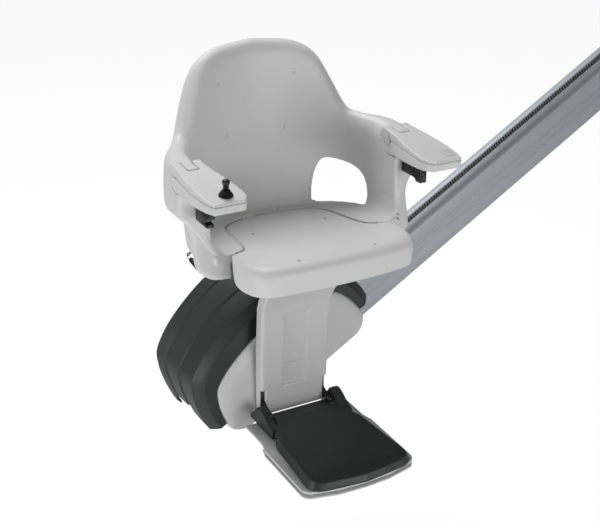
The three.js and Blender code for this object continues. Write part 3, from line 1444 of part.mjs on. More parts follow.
const armHalf = (body, upper) => {
  const near = arm.pivotBack + arm.length;
  const far = arm.pivotBack - arm.length * 1.5;
  const shift = upper ? -gap * half : gap * half;
  const edge = upper ? -arm.length : arm.length;
  const tool = prismX([
    [near, seamAt(near) - shift], [far, seamAt(far) - shift], [far, seamAt(far) + edge], [near, seamAt(near) + edge],
  ], 0, armOuter + arm.length);
  return cut(body, tool);
};

const armCavity = () => {
  const front = arm.rootFront - arm.length + seat.skin * 3;
  const back = arm.pivotBack - arm.hingeRadius - seat.skin;
  const x0 = armStations[4][1] + seat.skin * 2;
  const x1 = armStations[4][2] - seat.skin * 2;
  return box(x0, x1, front, back, arm.pivotHeight - arm.frontDrop + seat.skin, armTopAt(back));
};
const upperHalf = () => armHalf(armBody(), true);
const lowerHalf = () => armHalf(armBody(), false);
const lowerShell = cut(lowerHalf(), armCavity());
place(chairGroup, 'arm_left_lower_shell', lowerShell, shellGrey);
place(chairGroup, 'arm_right_lower_shell', mirrored(lowerShell), shellGrey);

const buttonAcross = armInner + button.inset;
const buttonBefore = arm.length - arm.rootFront - button.fromFront;
const stickAcross = armInner + stick.inset;
const stickBefore = arm.length - arm.rootFront - stick.fromFront;
const roundedBox = (length, width, corner) => {
  const x = length * half - corner;
  const y = width * half - corner;
  return [
    ...arc(x, y, corner, 0, 90, 4), ...arc(-x, y, corner, 90, 180, 4),
    ...arc(-x, -y, corner, 180, 270, 4), ...arc(x, -y, corner, 270, 360, 4),
  ];
};
const armSlopeAngle = Math.atan2(arm.rearRise - arm.frontRise, arm.length);
const onArmTop = (geometry, across, before, lift) =>
  geometry.rotateX(armSlopeAngle).translate(across, -before, armTopAt(-before) + lift);
const buttonPocket = onArmTop(
  prismZ(roundedBox(button.width + gap * 2, button.length + gap * 2, button.corner + gap), -button.depth - button.travel - gap, overrun),
  buttonAcross, buttonBefore, 0);
place(chairGroup, 'arm_left_upper_shell', cut(upperHalf(), buttonPocket), shellGrey);
const stickPocket = onArmTop(rodZ(stick.bootRadius * stick.pocketShare, -seat.skin * 2, overrun),
  stickAcross, stickBefore, 0);
place(chairGroup, 'arm_right_upper_shell', mirrored(cut(upperHalf(), stickPocket)), shellGrey);

const armPin = rodX(arm.pinRadius, armInner + gap, armOuter - gap, arm.pivotBack, arm.pivotHeight, smallRound);
place(chairGroup, 'arm_left_hinge_pin', armPin, steel);
place(chairGroup, 'arm_right_hinge_pin', mirrored(armPin), steel);
const capFace = between(armStations, arm.capRadius)[1] - gap;
const pivotCap = rodX(arm.capRadius, capFace - arm.capThickness, capFace, arm.pivotBack, arm.pivotHeight);
place(chairGroup, 'arm_left_pivot_cap', pivotCap, lightGrey);
place(chairGroup, 'arm_right_pivot_cap', mirrored(pivotCap), lightGrey);

// Call button on the left arm

const buttonSolid = onArmTop(
  prismZ(roundedBox(button.width, button.length, button.corner), -button.depth, button.proud),
  buttonAcross, buttonBefore, 0);
place(chairGroup, 'call_button', buttonSolid, lightGrey);

// Joystick on the right arm

const bootSolid = () => {
  const flange = stick.flangeRadius;
  const profile = [
    [0, gap], [flange, gap], [flange, gap + stick.neckRadius * 0.3], [stick.bootRadius, gap + stick.neckRadius * 0.6],
    [stick.bootRadius * 0.9, stick.bootHeight * 0.4], [stick.bootRadius * 0.72, stick.bootHeight * 0.5],
    [stick.bootRadius * 0.7, stick.bootHeight * 0.7], [stick.neckRadius + gap * 4, stick.bootHeight],
    [0, stick.bootHeight],
  ];
  return onArmTop(turned(profile, sideRound), -stickAcross, stickBefore, 0);
};
place(chairGroup, 'joystick_boot', bootSolid(), rubber);
const knobSolid = () => {
  const tiltHeight = stick.bootHeight + gap + stick.neckRadius;
  const ball = arc(0, tiltHeight, stick.neckRadius, -90, 0, 3).slice(1);
  const profile = [
    [0, stick.bootHeight + gap], ...ball, [stick.neckRadius * 0.86, stick.height * 0.56],
    [stick.knobRadius, stick.height * 0.76], [stick.knobRadius, stick.height * 0.88],
    [stick.knobRadius * 0.66, stick.height * 0.97], [0, stick.height],
  ];
  return onArmTop(turned(profile, sideRound), -stickAcross, stickBefore, 0);
};
place(chairGroup, 'joystick_stick', knobSolid(), black);

// Belt buckle under the left arm and belt tongue holder under the right arm

const beltAcross = armInner + belt.inset;
const buckle = () => {
  const x0 = beltAcross - belt.thickness * half;
  const x1 = beltAcross + belt.thickness * half;
  const top = belt.bottom + belt.height;
  const outline = [
    [-belt.rear, belt.bottom + belt.notch], [-belt.rear, top - belt.notch], [-belt.rear - belt.notch * 2, top - belt.notch],
    [-belt.rear - belt.notch * 3, top], [-belt.front, top], [-belt.front, belt.bottom],
    [-belt.front + belt.notch * 3, belt.bottom], [-belt.front + belt.notch * 4, belt.bottom + belt.notch],
  ];
  const pocket = box(beltAcross - belt.keyThickness * half - gap, beltAcross + belt.keyThickness * half + gap,
    -belt.front - overrun, -belt.front + belt.keyLength, belt.bottom + belt.notch * 2, belt.bottom + belt.notch * 2 + belt.keyHeight);
  return cut(prismX(outline.reverse(), x0, x1), pocket);
};
place(chairGroup, 'belt_buckle', buckle(), black);
const keyFoot = belt.bottom + belt.notch * 2 + gap;
place(chairGroup, 'buckle_release_key', box(beltAcross - belt.keyThickness * half, beltAcross + belt.keyThickness * half,
  -belt.front - belt.notch * 0.3, -belt.front + belt.keyLength * 0.75, keyFoot, keyFoot + belt.keyHeight - gap * 2), black);
const holder = () => {
  const x0 = -beltAcross - belt.thickness * half;
  const x1 = -beltAcross + belt.thickness * half;
  const top = belt.rightBottom + belt.rightHeight;
  const outline = [
    [-belt.rightRear, belt.rightBottom], [-belt.rightRear, top], [-belt.rightFront, top],
    [-belt.rightFront, top - belt.notch], [-belt.rightFront + belt.notch * 3, top - belt.notch * 1.5],
    [-belt.rightFront + belt.notch * 3, belt.rightBottom + belt.notch * 1.5],
    [-belt.rightFront + belt.notch, belt.rightBottom + belt.notch], [-belt.rightFront + belt.notch, belt.rightBottom],
  ];
  return prismX(outline.reverse(), x0, x1);
};
place(chairGroup, 'belt_tongue_holder', holder(), black);

// Swivel lever under the seat's right side

const leverEnd = point(-lever.outer, lever.back - lever.reach, -lever.drop - lever.fall);
const bendStart = point(-lever.outer + lever.bendRadius, lever.back, -lever.drop);
const bendCorner = point(-lever.outer, lever.back, -lever.drop);
const gripDirection = leverEnd.clone().sub(bendCorner).normalize();
const bendEnd = bendCorner.clone().addScaledVector(gripDirection, lever.bendRadius);
const gripStart = leverEnd.clone().addScaledVector(gripDirection, -lever.gripLength);
const bend = new THREE.QuadraticBezierCurve3(bendStart, bendCorner, bendEnd);
place(chairGroup, 'swivel_lever_rod', barAlong([
  point(-lever.inner, lever.back, -lever.drop), ...bend.getPoints(4), gripStart,
], lever.rodRadius), chrome);
const grip = turned([
  [0, 0], [lever.gripRadius * 0.7, 0], [lever.gripRadius, lever.gripLength * 0.12],
  [lever.gripRadius, lever.gripLength * 0.9], [lever.gripRadius * 0.7, lever.gripLength], [0, lever.gripLength],
], smallRound);
const gripTurn = new THREE.Quaternion().setFromUnitVectors(axisZ, gripDirection);
const gripFrom = gripStart.clone().addScaledVector(gripDirection, gap);
place(chairGroup, 'swivel_lever_grip',
  grip.applyQuaternion(gripTurn).translate(gripFrom.x, gripFrom.y, gripFrom.z), black);

// Blocks under the seat frame that carry the lever's rod, and the housing of the swivel lock.
const leverBore = rodX(lever.rodRadius + gap, -lever.outer, 0, lever.back, -lever.drop, smallRound);
const blockTop = frameFoot - gap;
const lockFoot = -lever.drop - lever.gripRadius * 1.5;
const underFrame = (x0, x1, y0, y1) => {
  const level = (y) => blockTop + seatHeightAt(y);
  return prismX([[y0, lockFoot], [y1, lockFoot], [y1, level(y1)], [y0, level(y0)]], x0, x1);
};
const blockHalf = lever.blockWidth * half;
place(chairGroup, 'lever_bearing_block', cut(underFrame(-frame.sidePlace - blockHalf, -frame.sidePlace + blockHalf,
  lever.back - blockHalf, lever.back + blockHalf), leverBore), black);
place(chairGroup, 'swivel_lock_housing', cut(underFrame(-lever.inner - overrun, -swivel.postBore,
  swivel.back + swivel.saddleHalf + runningGap, lever.back + blockHalf), leverBore), black);

export default group;
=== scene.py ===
"""A stairlift chair: seat, carriage, footrest and rail, dressed over its CAD model."""

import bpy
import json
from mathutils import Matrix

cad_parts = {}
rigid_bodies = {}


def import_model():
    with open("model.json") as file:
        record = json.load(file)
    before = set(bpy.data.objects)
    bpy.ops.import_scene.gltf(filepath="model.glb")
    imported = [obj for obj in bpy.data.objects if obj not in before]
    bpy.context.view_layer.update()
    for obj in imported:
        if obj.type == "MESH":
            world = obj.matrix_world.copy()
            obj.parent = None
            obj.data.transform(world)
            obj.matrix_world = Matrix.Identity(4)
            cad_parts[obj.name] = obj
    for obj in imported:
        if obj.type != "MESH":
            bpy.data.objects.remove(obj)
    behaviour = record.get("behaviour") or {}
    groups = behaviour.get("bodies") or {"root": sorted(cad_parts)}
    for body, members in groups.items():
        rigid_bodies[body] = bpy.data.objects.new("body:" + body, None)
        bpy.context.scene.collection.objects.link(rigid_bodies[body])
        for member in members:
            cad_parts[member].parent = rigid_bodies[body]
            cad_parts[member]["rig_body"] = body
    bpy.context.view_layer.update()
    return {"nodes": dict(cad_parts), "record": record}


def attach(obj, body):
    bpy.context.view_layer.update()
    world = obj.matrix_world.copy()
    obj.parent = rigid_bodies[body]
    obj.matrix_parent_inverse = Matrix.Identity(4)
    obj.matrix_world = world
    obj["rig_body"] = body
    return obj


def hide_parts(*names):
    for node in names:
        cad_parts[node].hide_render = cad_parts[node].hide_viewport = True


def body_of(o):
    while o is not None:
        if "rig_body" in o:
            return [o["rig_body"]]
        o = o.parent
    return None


bl_info = {
    "name": "Stairlift Chair",
    "version": (1, 0, 0),
    "blender": (4, 5, 0),
    "location": "View3D > Sidebar > Stairlift",
    "description": "Builds the mouldings, finishes, studio and camera of a stairlift chair",
    "category": "Object",
}

import json
import math

import bmesh
import bpy
from mathutils import Matrix, Vector

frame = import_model()
NODES = frame["nodes"]

# Frames: the chair's origin is on the seat, the carriage's and the rail's are under the rail.
MM = 0.001
SLOPE = math.radians(31)
RAIL_PLACE = 125
SEAT_HEIGHT = 484.6
CARRIAGE_PLACE = 78
MILLIMETRES = Matrix.Scale(MM, 4)
MIRROR = Matrix.Scale(-1, 4, (1, 0, 0))
CHAIR = MILLIMETRES @ Matrix.Translation((0, -RAIL_PLACE, SEAT_HEIGHT))
RAIL = MILLIMETRES @ Matrix.Translation((0, -RAIL_PLACE, 0)) @ Matrix.Rotation(-SLOPE, 4, "Y")
CARRIAGE = RAIL @ Matrix.Translation((CARRIAGE_PLACE, 0, 0))

# Clearances, in millimetres like every length from here to the studio
GAP = 0.3
RUNNING_GAP = 1
OVERRUN = 2
TINY = 1e-9
MITRE_LIMIT = 0.5
SAME_POINT = 0.001

# Seat shell
SEAT_RISE = 22 / 215
FLOOR_THICKNESS = 16
INNER_HALF_WIDTH = 222
INNER_DEPTH = 170
BOW_POWER = 2.06
SIDE_WALL = 61
BACK_WALL = 44.5
WALL_THINS = (0, 0.3)
SKIN = 5
SIDE_FRONT = 82
SIDE_SWEEP = 22
SWEEP_TOP = 60
SWEEP_FOOT = -20
FOOT_FRONT = 100
SIDE_RIM = 205
BACK_RIM = 380
RIM_INNER = 36
RIM_OUTER = 28
FLOOR_FILLET = 36
STEP_HEIGHT = 92
LEG_INSET = 66
LEG_TUCK = 1.05
NOSE = 9
NOSE_ANGLES = (90, 67.5, 45, 22.5, 0)
HOLE_RADIUS = 3.5
HOLE_DEPTH = 3
FLOOR_STEPS = 48
DIMPLE_RADIUS = 5
DIMPLE_DEPTH = 1.8
LIP_WIDTH = 2.6
LIP_HEIGHT = 1.6
RIM_SHARES = (
    (0, 0), (0.144, 0.005), (0.267, 0.012), (0.378, 0.08), (0.478, 0.409), (0.556, 0.682),
    (0.622, 0.824), (0.689, 0.899), (0.767, 0.948), (0.87, 0.972), (1, 1),
)
RIM_INNER_SHARES = ((0, 1), (0.083, 0.556), (0.278, 0.194), (0.556, 0.028))
RIM_OUTER_SHARES = ((0.786, 0), (0.357, 0.143), (0.107, 0.464), (0, 1))
FILLET_SHARES = ((-1, 0), (-0.611, 0.056), (-0.222, 0.278), (0, 0.75))
LEG_SHARES = (
    (0, 1), (0.06, 0.955), (0.18, 0.87), (0.27, 0.72), (0.3, 0.45), (0.32, 0.1), (0.36, -0.2),
)
HEEL_SHARES = ((0.75, -0.446), (-1, -0.511))
CAVITY_POINTS = (0, 2, 3, 5, 7, 10, 12, 13, 15, 16, 18, 20, 21)
BACK_HOLE_SHARES = ((0.419, 0.789), (0.318, 0.461))
SEAT_HOLE_SHARES = ((0.469, 0), (0.472, 0.86))

# Side windows
WINDOW_HALF_WIDTH = 71
WINDOW_TOP = 95
WINDOW_BOTTOM = -24
WINDOW_INSET = 42
WINDOW_BACK = 90
WINDOW_TURN = math.radians(37)
WINDOW_IN = 15
WINDOW_OUT = 90
WINDOW_SHARES = (
    (-0.9, 0), (-1, 0.12), (-1, 0.46), (-0.93, 0.72), (-0.8, 0.9), (-0.55, 1), (-0.2, 0.995),
    (0.2, 0.95), (0.55, 0.88), (0.8, 0.76), (0.94, 0.58), (1, 0.34), (0.93, 0.1), (0.7, 0),
)

# Seat panel
PANEL_THICKNESS = 16
PANEL_SEAM = 3
PANEL_REAR_RADIUS = 3.5
PANEL_FRONT_RADIUS = 24
SKIRT_DEPTH = 64
SKIRT_WALL = 6
SKIRT_START = 92
SKIRT_BLEND = 27
ROLL_START = 138
ROLL_END = 225
ROLL_STEPS = 8
PANEL_HALF_WIDTH = 192
PANEL_REAR = 116
PANEL_FRONT = 250
KNUCKLE_BACK = 121
KNUCKLE_RADIUS = 4.5
KNUCKLE_START = 34
KNUCKLE_END = 58
KNUCKLE_BOSS = 8
PANEL_REAR_SHARES = (
    (0, 1), (0.26, 0.975), (0.47, 0.865), (0.585, 0.735), (0.645, 0.54), (0.675, 0.3), (0.69, 0.06),
)
PANEL_FRONT_SHARES = (
    (0.715, -0.125), (0.75, -0.262), (0.8, -0.345), (0.9, -0.385), (0.975, -0.404), (1, -0.45),
    (1.03, -0.58), (1.03, -0.72), (0.99, -0.84), (0.9, -0.92), (0.75, -0.96), (0.4, -0.99), (0, -1),
)

# Arms
PIVOT_BACK = -47
PIVOT_HEIGHT = 181
PIVOT = (PIVOT_BACK, PIVOT_HEIGHT)
HINGE_RADIUS = 32
TONGUE_RADIUS = 29
TONGUE_WIDTH = 24
ROOT_FRONT = -25
REAR_RISE = 23.6
FRONT_RISE = 6
FRONT_DROP = 14
ARM_LENGTH = 225
ARM_WIDTH = 64
SEAM_RISE = 1.3
CAP_RADIUS = 13
CAP_THICKNESS = 2
ARM_INNER = INNER_HALF_WIDTH - RUNNING_GAP
ARM_OUTER = ARM_INNER + ARM_WIDTH
ARM_REACH = ARM_LENGTH + PIVOT_BACK - ROOT_FRONT
TONGUE_INNER = ARM_INNER + 20
ARM_SLOPE = math.atan2(REAR_RISE - FRONT_RISE, ARM_LENGTH)
ARM_SHARES = (
    (0, 0, 1), (0.163, -0.047, 1.063), (0.32, -0.125, 1.109), (0.483, -0.188, 1.141),
    (0.581, -0.219, 1.141), (0.729, -0.25, 1.125), (0.828, -0.219, 1.094), (0.887, -0.141, 1.047),
    (0.936, -0.016, 1.016),
)

# Controls
STICK_ACROSS = ARM_INNER + 25
BUTTON_ACROSS = ARM_INNER + 50
CONTROL_FRONT = ARM_LENGTH - ROOT_FRONT - 45
WELL_RADIUS = 9.8
FLANGE_RADIUS = 15
FLANGE_PROFILE = ((-0.8, 0), (0, 0.6), (-0.4, 1.5), (-0.4, 2))
BOOT_RADIUS = 14
BOOT_HEIGHT = 13
FOLDS = 3
FOLD_DEPTH = 0.7
FOLD_START = 2.4
FOLD_STEPS = 8
NECK_RADIUS = 6
WAIST_SHARES = (0.86, 0.56)
KNOB_RADIUS = 8
KNOB_SHARES = ((0.8, 0.68), (1, 0.8), (0.9, 0.92), (0.5, 0.99), (0, 1))
STICK_HEIGHT = 35
BUTTON_WIDTH = 22
BUTTON_LENGTH = 34
BUTTON_CORNER = 7
BUTTON_DEPTH = 4
BUTTON_PROUD = 0.8
BUTTON_TRAVEL = 1.2
KEY_BREAK = 0.6
CAP_BREAK = 0.8

# Carriage covers
HOOD_FRONT = 20
HOOD_BACK = 185
HOOD_LENGTH = 260
HOOD_CROWN = 338
HOOD_WALL = 5
HOOD_BOTTOM = 86
TUNNEL_FRONT = 96
TUNNEL_BACK = 160
TUNNEL_HEIGHT = 140
TAIL_HEIGHT = 114
COVER_FRONT = 8
COVER_BACK = 30
COVER_WALL = 4
COVER_LENGTH = 208
COVER_HEIGHT = 229
COVER_BOTTOM = 32
COVER_CORNER = ((0, 46), (-1, 28), (-18, 8), (-36, 0))
PLATE_FRONT = 62
BOSS_RADIUS = 6
BOSS_ACROSS = 130
BOSS_HEIGHTS = (50, 172)
BAND_STEP = 0.03
BAND_STEPS = 4
FRONT_LEVELS = (0, 0.012, 0.036)
HOOD_SHARES = (
    (0, 0.865, 0.805), (0.036, 0.888, 0.822), (0.152, 0.946, 0.855), (0.467, 0.954, 0.888),
    (0.491, 0.965, 0.899), (0.776, 0.973, 0.953), (0.8, 0.985, 0.964), (0.958, 1, 1), (1, 0.988, 0.988),
)
ARCH_SHARES = (
    (0, 1), (0.16, 0.993), (0.32, 0.97), (0.48, 0.937), (0.63, 0.895), (0.76, 0.842), (0.86, 0.78),
    (0.92, 0.69), (0.96, 0.59), (0.985, 0.49), (1, 0.39),
)
COVER_SHARES = ((0, 0), (0.12, 0.45), (0.5, 0.72), (1.3, 0.92), (2.2, 1))

# Column
COLUMN_WALL = 5
COLUMN_DEPTH = 30
COLUMN_EDGE = 7
COLUMN_FOOT = -453
COLUMN_HEAD = -68
HEAD_HALF = 98
COLUMN_FOOT_PLACE = -24
COLUMN_HEAD_PLACE = -99
RECESS_HALF = 32
RECESS_DEPTH = 5
RECESS_TOP = -196
RECESS_BOTTOM = -386
RECESS_FLARE = 7
FLARE_RUN = 2.4
SEAM_PLACE = -330
SEAM_WIDTH = 1.2
SLOT_INNER = 74.6
SLOT_TOP = -390
NECK_HALF = 42
NECK_TOP = 222.6
NECK_FOOT = 139.6
RECESS_STEPS = 40
COLUMN_STEPS = 72
COLUMN_SHARES = (
    (0, 0.878, 0), (0.164, 0.888, 0), (0.423, 0.898, 0.067), (0.67, 0.898, 0.173), (0.73, 0.908, 0.253),
    (0.782, 0.929, 0.4), (0.839, 0.949, 0.613), (0.896, 0.969, 0.827), (0.953, 0.99, 0.96), (1, 1, 1),
)

# Footrest
FOOT_HINGE_BACK = -50
FOOT_HINGE_HEIGHT = -440
FOOT_PIN = 4
PAD_TOP = -437
PAD_FOOT = -462
PAD_REAR_TOP = -452
PAD_REAR = 27
PAD_FRONT = 348
PAD_HALF = 118
PAD_LIP = 40
PAD_LIP_DROP = 8
EAR_INNER = 87.5
EAR_OUTER = 106
BRACKET_INNER = 75.2
BRACKET_OUTER = 80.6
SLOT_FRONT = 76
PAD_EDGE = 5
PAD_CREASE = 1.5
PAD_DRAFT = 9
PAD_LIP_EASE = 2.4
PAD_NECK_TURN = 98.8
PAD_NECK_FRONT = 106.4
EAR_FRONT = 114
EAR_SLOPE = ((87.4, 5), (72.2, 15))
EAR_RADIUS = 25.84
SLOT_RISE = 30
PAD_SHARES = (
    (0.299, 0.72), (0.333, 0.763), (0.379, 0.839), (0.431, 0.898), (0.506, 0.915), (0.718, 0.958),
    (0.876, 1), (0.934, 0.975), (0.971, 0.847), (0.991, 0.508), (1, 0),
)

# Studio, in metres and watts. A lamp's row is its name, place, width and power.
WHITE = (1.0, 1.0, 1.0, 1.0)
FLOOR_SHADE = (0.9, 0.9, 0.9)
FLOOR_ROUGHNESS = 0.9
FLOOR_REACH = 12
FLOOR_GLOW = 1.08
FLOOR_PALENESS = 0.86
SENSOR_WIDTH = 36
SIGHT = 50
LAMPS = (
    ("left_light", (-2.9, -0.5, 0.5), 1.2, 36),
    ("front_light", (0.7, -3.1, 0.5), 1.4, 38),
    ("top_light", (-0.1, 1.1, 2.9), 1.5, 64),
)

# Finishes
PLASTIC_IOR = 1.46
PLASTIC_GRAIN = 1400
RUBBER_GRAIN = 900
POWDER_GRAIN = 700
COARSE_RELIEF = 0.0001
BRUSH_GRAIN = 6
BRUSH_RELIEF = 0.000003
BRUSH_STRETCH = (4, 220, 220)
GRAIN_DETAIL = 2
GRAIN_STRENGTH = 0.35


# Sizes and colours that a user would change


def colour(name, description, default):
    """A colour property in linear light."""
    return bpy.props.FloatVectorProperty(
        name=name, description=description, size=3, default=default, min=0, max=1, subtype="COLOR",
    )


def length(name, description, default):
    """A size property in metres."""
    return bpy.props.FloatProperty(name=name, description=description, default=default, unit="LENGTH")


class StageSettings(bpy.types.PropertyGroup):
    """Studio, camera and background."""

    camera_place: bpy.props.FloatVectorProperty(
        name="Camera Place", description="Where the camera stands", size=3,
        default=(-1.1724, -2.3539, 1.5565), subtype="TRANSLATION", unit="LENGTH",
    )
    camera_target: bpy.props.FloatVectorProperty(
        name="Camera Target", description="What the camera looks at", size=3,
        default=(0.0272, -0.125, 0.3901), subtype="TRANSLATION", unit="LENGTH",
    )
    lens: bpy.props.FloatProperty(
        name="Lens", description="Focal length on a 36 mm wide sensor", default=74.0, unit="CAMERA",
    )
    floor_height: length("Floor Height", "Height of the studio floor", -0.35)
    background: bpy.props.FloatProperty(
        name="Background Light", description="Strength of the even light from all round",
        default=0.17, min=0,
    )


class FinishSettings(bpy.types.PropertyGroup):
    """Colours of the mouldings and metals."""

    shell: colour("Shell", "Moulded seat, panel and arms", (0.62, 0.625, 0.62))
    cover: colour("Covers", "Front cover, column and plates", (0.55, 0.555, 0.55))
    dark: colour("Dark Mouldings", "Carriage hood and footrest pad", (0.024, 0.028, 0.026))
    black: colour("Black Plastic", "Buckle, joystick and grip", (0.006, 0.006, 0.006))
    rubber: colour("Rubber", "Rollers and boot", (0.010, 0.010, 0.010))
    aluminium: colour("Aluminium", "Anodised rail", (0.40, 0.43, 0.475))
    steel: colour("Steel", "Rack, pinion and pins", (0.25, 0.26, 0.27))
    powder: colour("Powder Coat", "Frame, spine and turntable", (0.022, 0.024, 0.026))
    chrome: colour("Chrome", "Lever rod", (0.78, 0.79, 0.80))
    board: colour("Circuit Board", "Control board", (0.013, 0.10, 0.043))


class MouldSettings(bpy.types.PropertyGroup):
    """How finely the mouldings are made."""

    shell_grain: length("Shell Fineness", "Cell of the seat shell's moulding", 0.0024)
    small_grain: length("Arm Fineness", "Cell of the arms', column's and pad's mouldings", 0.0018)
    edge: length("Edge Break", "Bevel on the fittings that are copied from the CAD", 0.0006)


# Curves and outlines


def smooth_step(value, start, end):
    share = min(1, max(0, (value - start) / (end - start)))
    return share * share * (3 - 2 * share)


def eased(start, into, end, out, t):
    """The point at a share t of the way from start to end, with a given slope at either."""
    return (
        start * (2 * t ** 3 - 3 * t ** 2 + 1) + into * (t ** 3 - 2 * t ** 2 + t)
        + end * (3 * t ** 2 - 2 * t ** 3) + out * (t ** 3 - t ** 2)
    )


def curve(points, steps, closed=False):
    """Points of a soft curve through every given point, with steps from one to the next."""
    count = len(points)
    made = []
    for index in range(count if closed else count - 1):
        if closed:
            around = [Vector(points[(index + k) % count]) for k in (-1, 0, 1, 2)]
        else:
            around = [Vector(points[min(count - 1, max(0, index + k))]) for k in (-1, 0, 1, 2)]
        before, start, end, after = around
        spans = [math.sqrt((b - a).length) for a, b in zip(around, around[1:])]
        into = out = end - start
        if spans[0] > 0:
            into = into + spans[1] * ((start - before) / spans[0] - (end - before) / sum(spans[:2]))
        if spans[2] > 0:
            out = out + spans[1] * ((after - end) / spans[2] - (after - start) / sum(spans[1:]))
        made += [eased(start, into, end, out, step / steps) for step in range(steps)]
    if not closed:
        made.append(Vector(points[-1]))
    return made


def straight(points, steps):
    """Points along the straight lines from each given point to the next."""
    made = []
    for start, end in zip(points, points[1:]):
        made += [Vector(start).lerp(Vector(end), step / steps) for step in range(steps)]
    return made + [Vector(points[-1])]


def reading(table, value):
    """The row of a table of shares at a value of its first column, eased between its rows."""
    last = len(table) - 1
    index = next((i for i, row in enumerate(table) if row[0] >= value), last)
    index = max(1, index)
    rows = [Vector(table[min(last, max(0, index + k))]) for k in (-2, -1, 0, 1)]
    before, start, end, after = rows
    span = end[0] - start[0]
    t = min(1, max(0, (value - start[0]) / span))

    def slope(low, high):
        return (high - low) / (high[0] - low[0]) if high[0] > low[0] else Vector((0.0,) * len(low))

    into = slope(before, end)
    out = slope(start, after)
    return eased(start, into * span, end, out * span, t)


def sided(side, near, far):
    """Two places across the chair in rising order, on its left for side 1 and its right for -1."""
    return sorted((side * near, side * far))


def offset(points, distance):
    """Each corner of a closed outline moved along its normal: outwards for an anticlockwise one."""
    made = []
    count = len(points)
    for index, point in enumerate(points):
        before = points[index - 1]
        after = points[(index + 1) % count]
        normals = []
        for start, end in ((before, point), (point, after)):
            along = Vector((end[0] - start[0], end[1] - start[1]))
            span = max(along.length, TINY)
            normals.append(Vector((along.y / span, -along.x / span)))
        scale = distance / max(MITRE_LIMIT, 1 + normals[0].dot(normals[1]))
        made.append(Vector((point[0], point[1])) + (normals[0] + normals[1]) * scale)
    return made


def arc(across, up, radius, start, end, steps):
    """Points of an arc between two angles in degrees."""
    angles = [math.radians(start + (end - start) * step / steps) for step in range(steps + 1)]
    return [(across + radius * math.cos(a), up + radius * math.sin(a)) for a in angles]


# Solids


def is_vertex(item):
    return isinstance(item, bmesh.types.BMVert)


def skin(rings):
    """A closed skin through rings of equal counts, with flat ends."""
    bm = bmesh.new()
    ring = bmesh.ops.create_circle(bm, segments=len(rings[0]), radius=1)["verts"]
    edges = list(bm.edges)
    first = edges
    for vertex, point in zip(ring, rings[0]):
        vertex.co = point
    for points in rings[1:]:
        made = bmesh.ops.extrude_edge_only(bm, edges=edges)["geom"]
        fresh = {item for item in made if is_vertex(item)}
        edges = [item for item in made
                 if isinstance(item, bmesh.types.BMEdge) and set(item.verts) <= fresh]
        ring = [next(e.other_vert(v) for e in v.link_edges if e.other_vert(v) in fresh) for v in ring]
        for vertex, point in zip(ring, points):
            vertex.co = point
    caps = []
    for end in (first, edges):
        caps += bmesh.ops.contextual_create(bm, geom=end)["faces"]
    bmesh.ops.triangulate(bm, faces=caps, ngon_method="EAR_CLIP")
    bmesh.ops.recalc_face_normals(bm, faces=bm.faces)
    return bm


def prism_x(outline, start, end):
    return skin([[(x, p[0], p[1]) for p in outline] for x in (start, end)])


def prism_y(outline, start, end):
    return skin([[(p[0], y, p[1]) for p in outline] for y in (start, end)])


def prism_z(outline, start, end):
    return skin([[(p[0], p[1], z) for p in outline] for z in (start, end)])


def block(x0, x1, y0, y1, z0, z1):
    bm = bmesh.new()
    middle = Matrix.Translation(((x0 + x1) / 2, (y0 + y1) / 2, (z0 + z1) / 2))
    bmesh.ops.create_cube(bm, size=1, matrix=middle @ Matrix.Diagonal((x1 - x0, y1 - y0, z1 - z0, 1)))
    return bm


def rod(axis, radius, start, end, centre, sides=48):
    """A round bar along one axis. The centre holds its places on the other two axes, in order."""
    bm = bmesh.new()
    turn = {"X": Matrix.Rotation(math.pi / 2, 4, "Y"), "Y": Matrix.Rotation(math.pi / 2, 4, "X"),
            "Z": Matrix.Identity(4)}[axis]
    middle = list(centre)
    middle.insert("XYZ".index(axis), (start + end) / 2)
    bmesh.ops.create_cone(bm, cap_ends=True, segments=sides, radius1=radius, radius2=radius,
                          depth=end - start, matrix=Matrix.Translation(middle) @ turn)
    return bm


def lathe(profile, sides=64):
    """A solid turned about Z from a profile of radii and heights that starts and ends on the axis."""
    bm = bmesh.new()
    vertices = [bm.verts.new((radius, 0, height)) for radius, height in profile]
    edges = [bm.edges.new(pair) for pair in zip(vertices, vertices[1:])]
    bmesh.ops.spin(bm, geom=vertices + edges, cent=(0, 0, 0), axis=(0, 0, 1), angle=math.tau,
                   steps=sides, use_merge=True)
    bmesh.ops.remove_doubles(bm, verts=bm.verts, dist=SAME_POINT)
    bmesh.ops.recalc_face_normals(bm, faces=bm.faces)
    return bm


def moved(bm, matrix):
    bm.transform(matrix)
    if matrix.determinant() < 0:
        bmesh.ops.reverse_faces(bm, faces=bm.faces)
    return bm


def sheared(bm):
    """Tilts what was built level onto the seat's plane."""
    for vertex in bm.verts:
        vertex.co.z -= SEAT_RISE * vertex.co.y
    return bm


def mirrored(bm):
    return moved(bm, MIRROR)


def break_edges(bm, width, angle=30, segments=2):
    """Rounds every edge of a solid that is sharper than an angle in degrees."""
    sharp = [e for e in bm.edges if e.is_manifold and e.calc_face_angle(0) > math.radians(angle)]
    bmesh.ops.bevel(bm, geom=sharp, offset=width, offset_type="OFFSET", segments=segments, profile=0.5,
                    affect="EDGES", clamp_overlap=True, material=-1)
    return bm


def linked(name, data):
    """A new object in the scene for a mesh, a lamp or a camera."""
    obj = bpy.data.objects.new(name, data)
    bpy.context.collection.objects.link(obj)
    return obj


def draft(bm, name):
    """An object for a bmesh, still in millimetres."""
    mesh = bpy.data.meshes.new(name)
    bm.to_mesh(mesh)
    bm.free()
    return linked(name, mesh)


def discard(obj):
    mesh = obj.data
    bpy.data.objects.remove(obj)
    bpy.data.meshes.remove(mesh)


def taken(obj):
    """The bmesh of a draft, which is discarded."""
    bm = bmesh.new()
    bm.from_mesh(obj.data)
    discard(obj)
    return bm


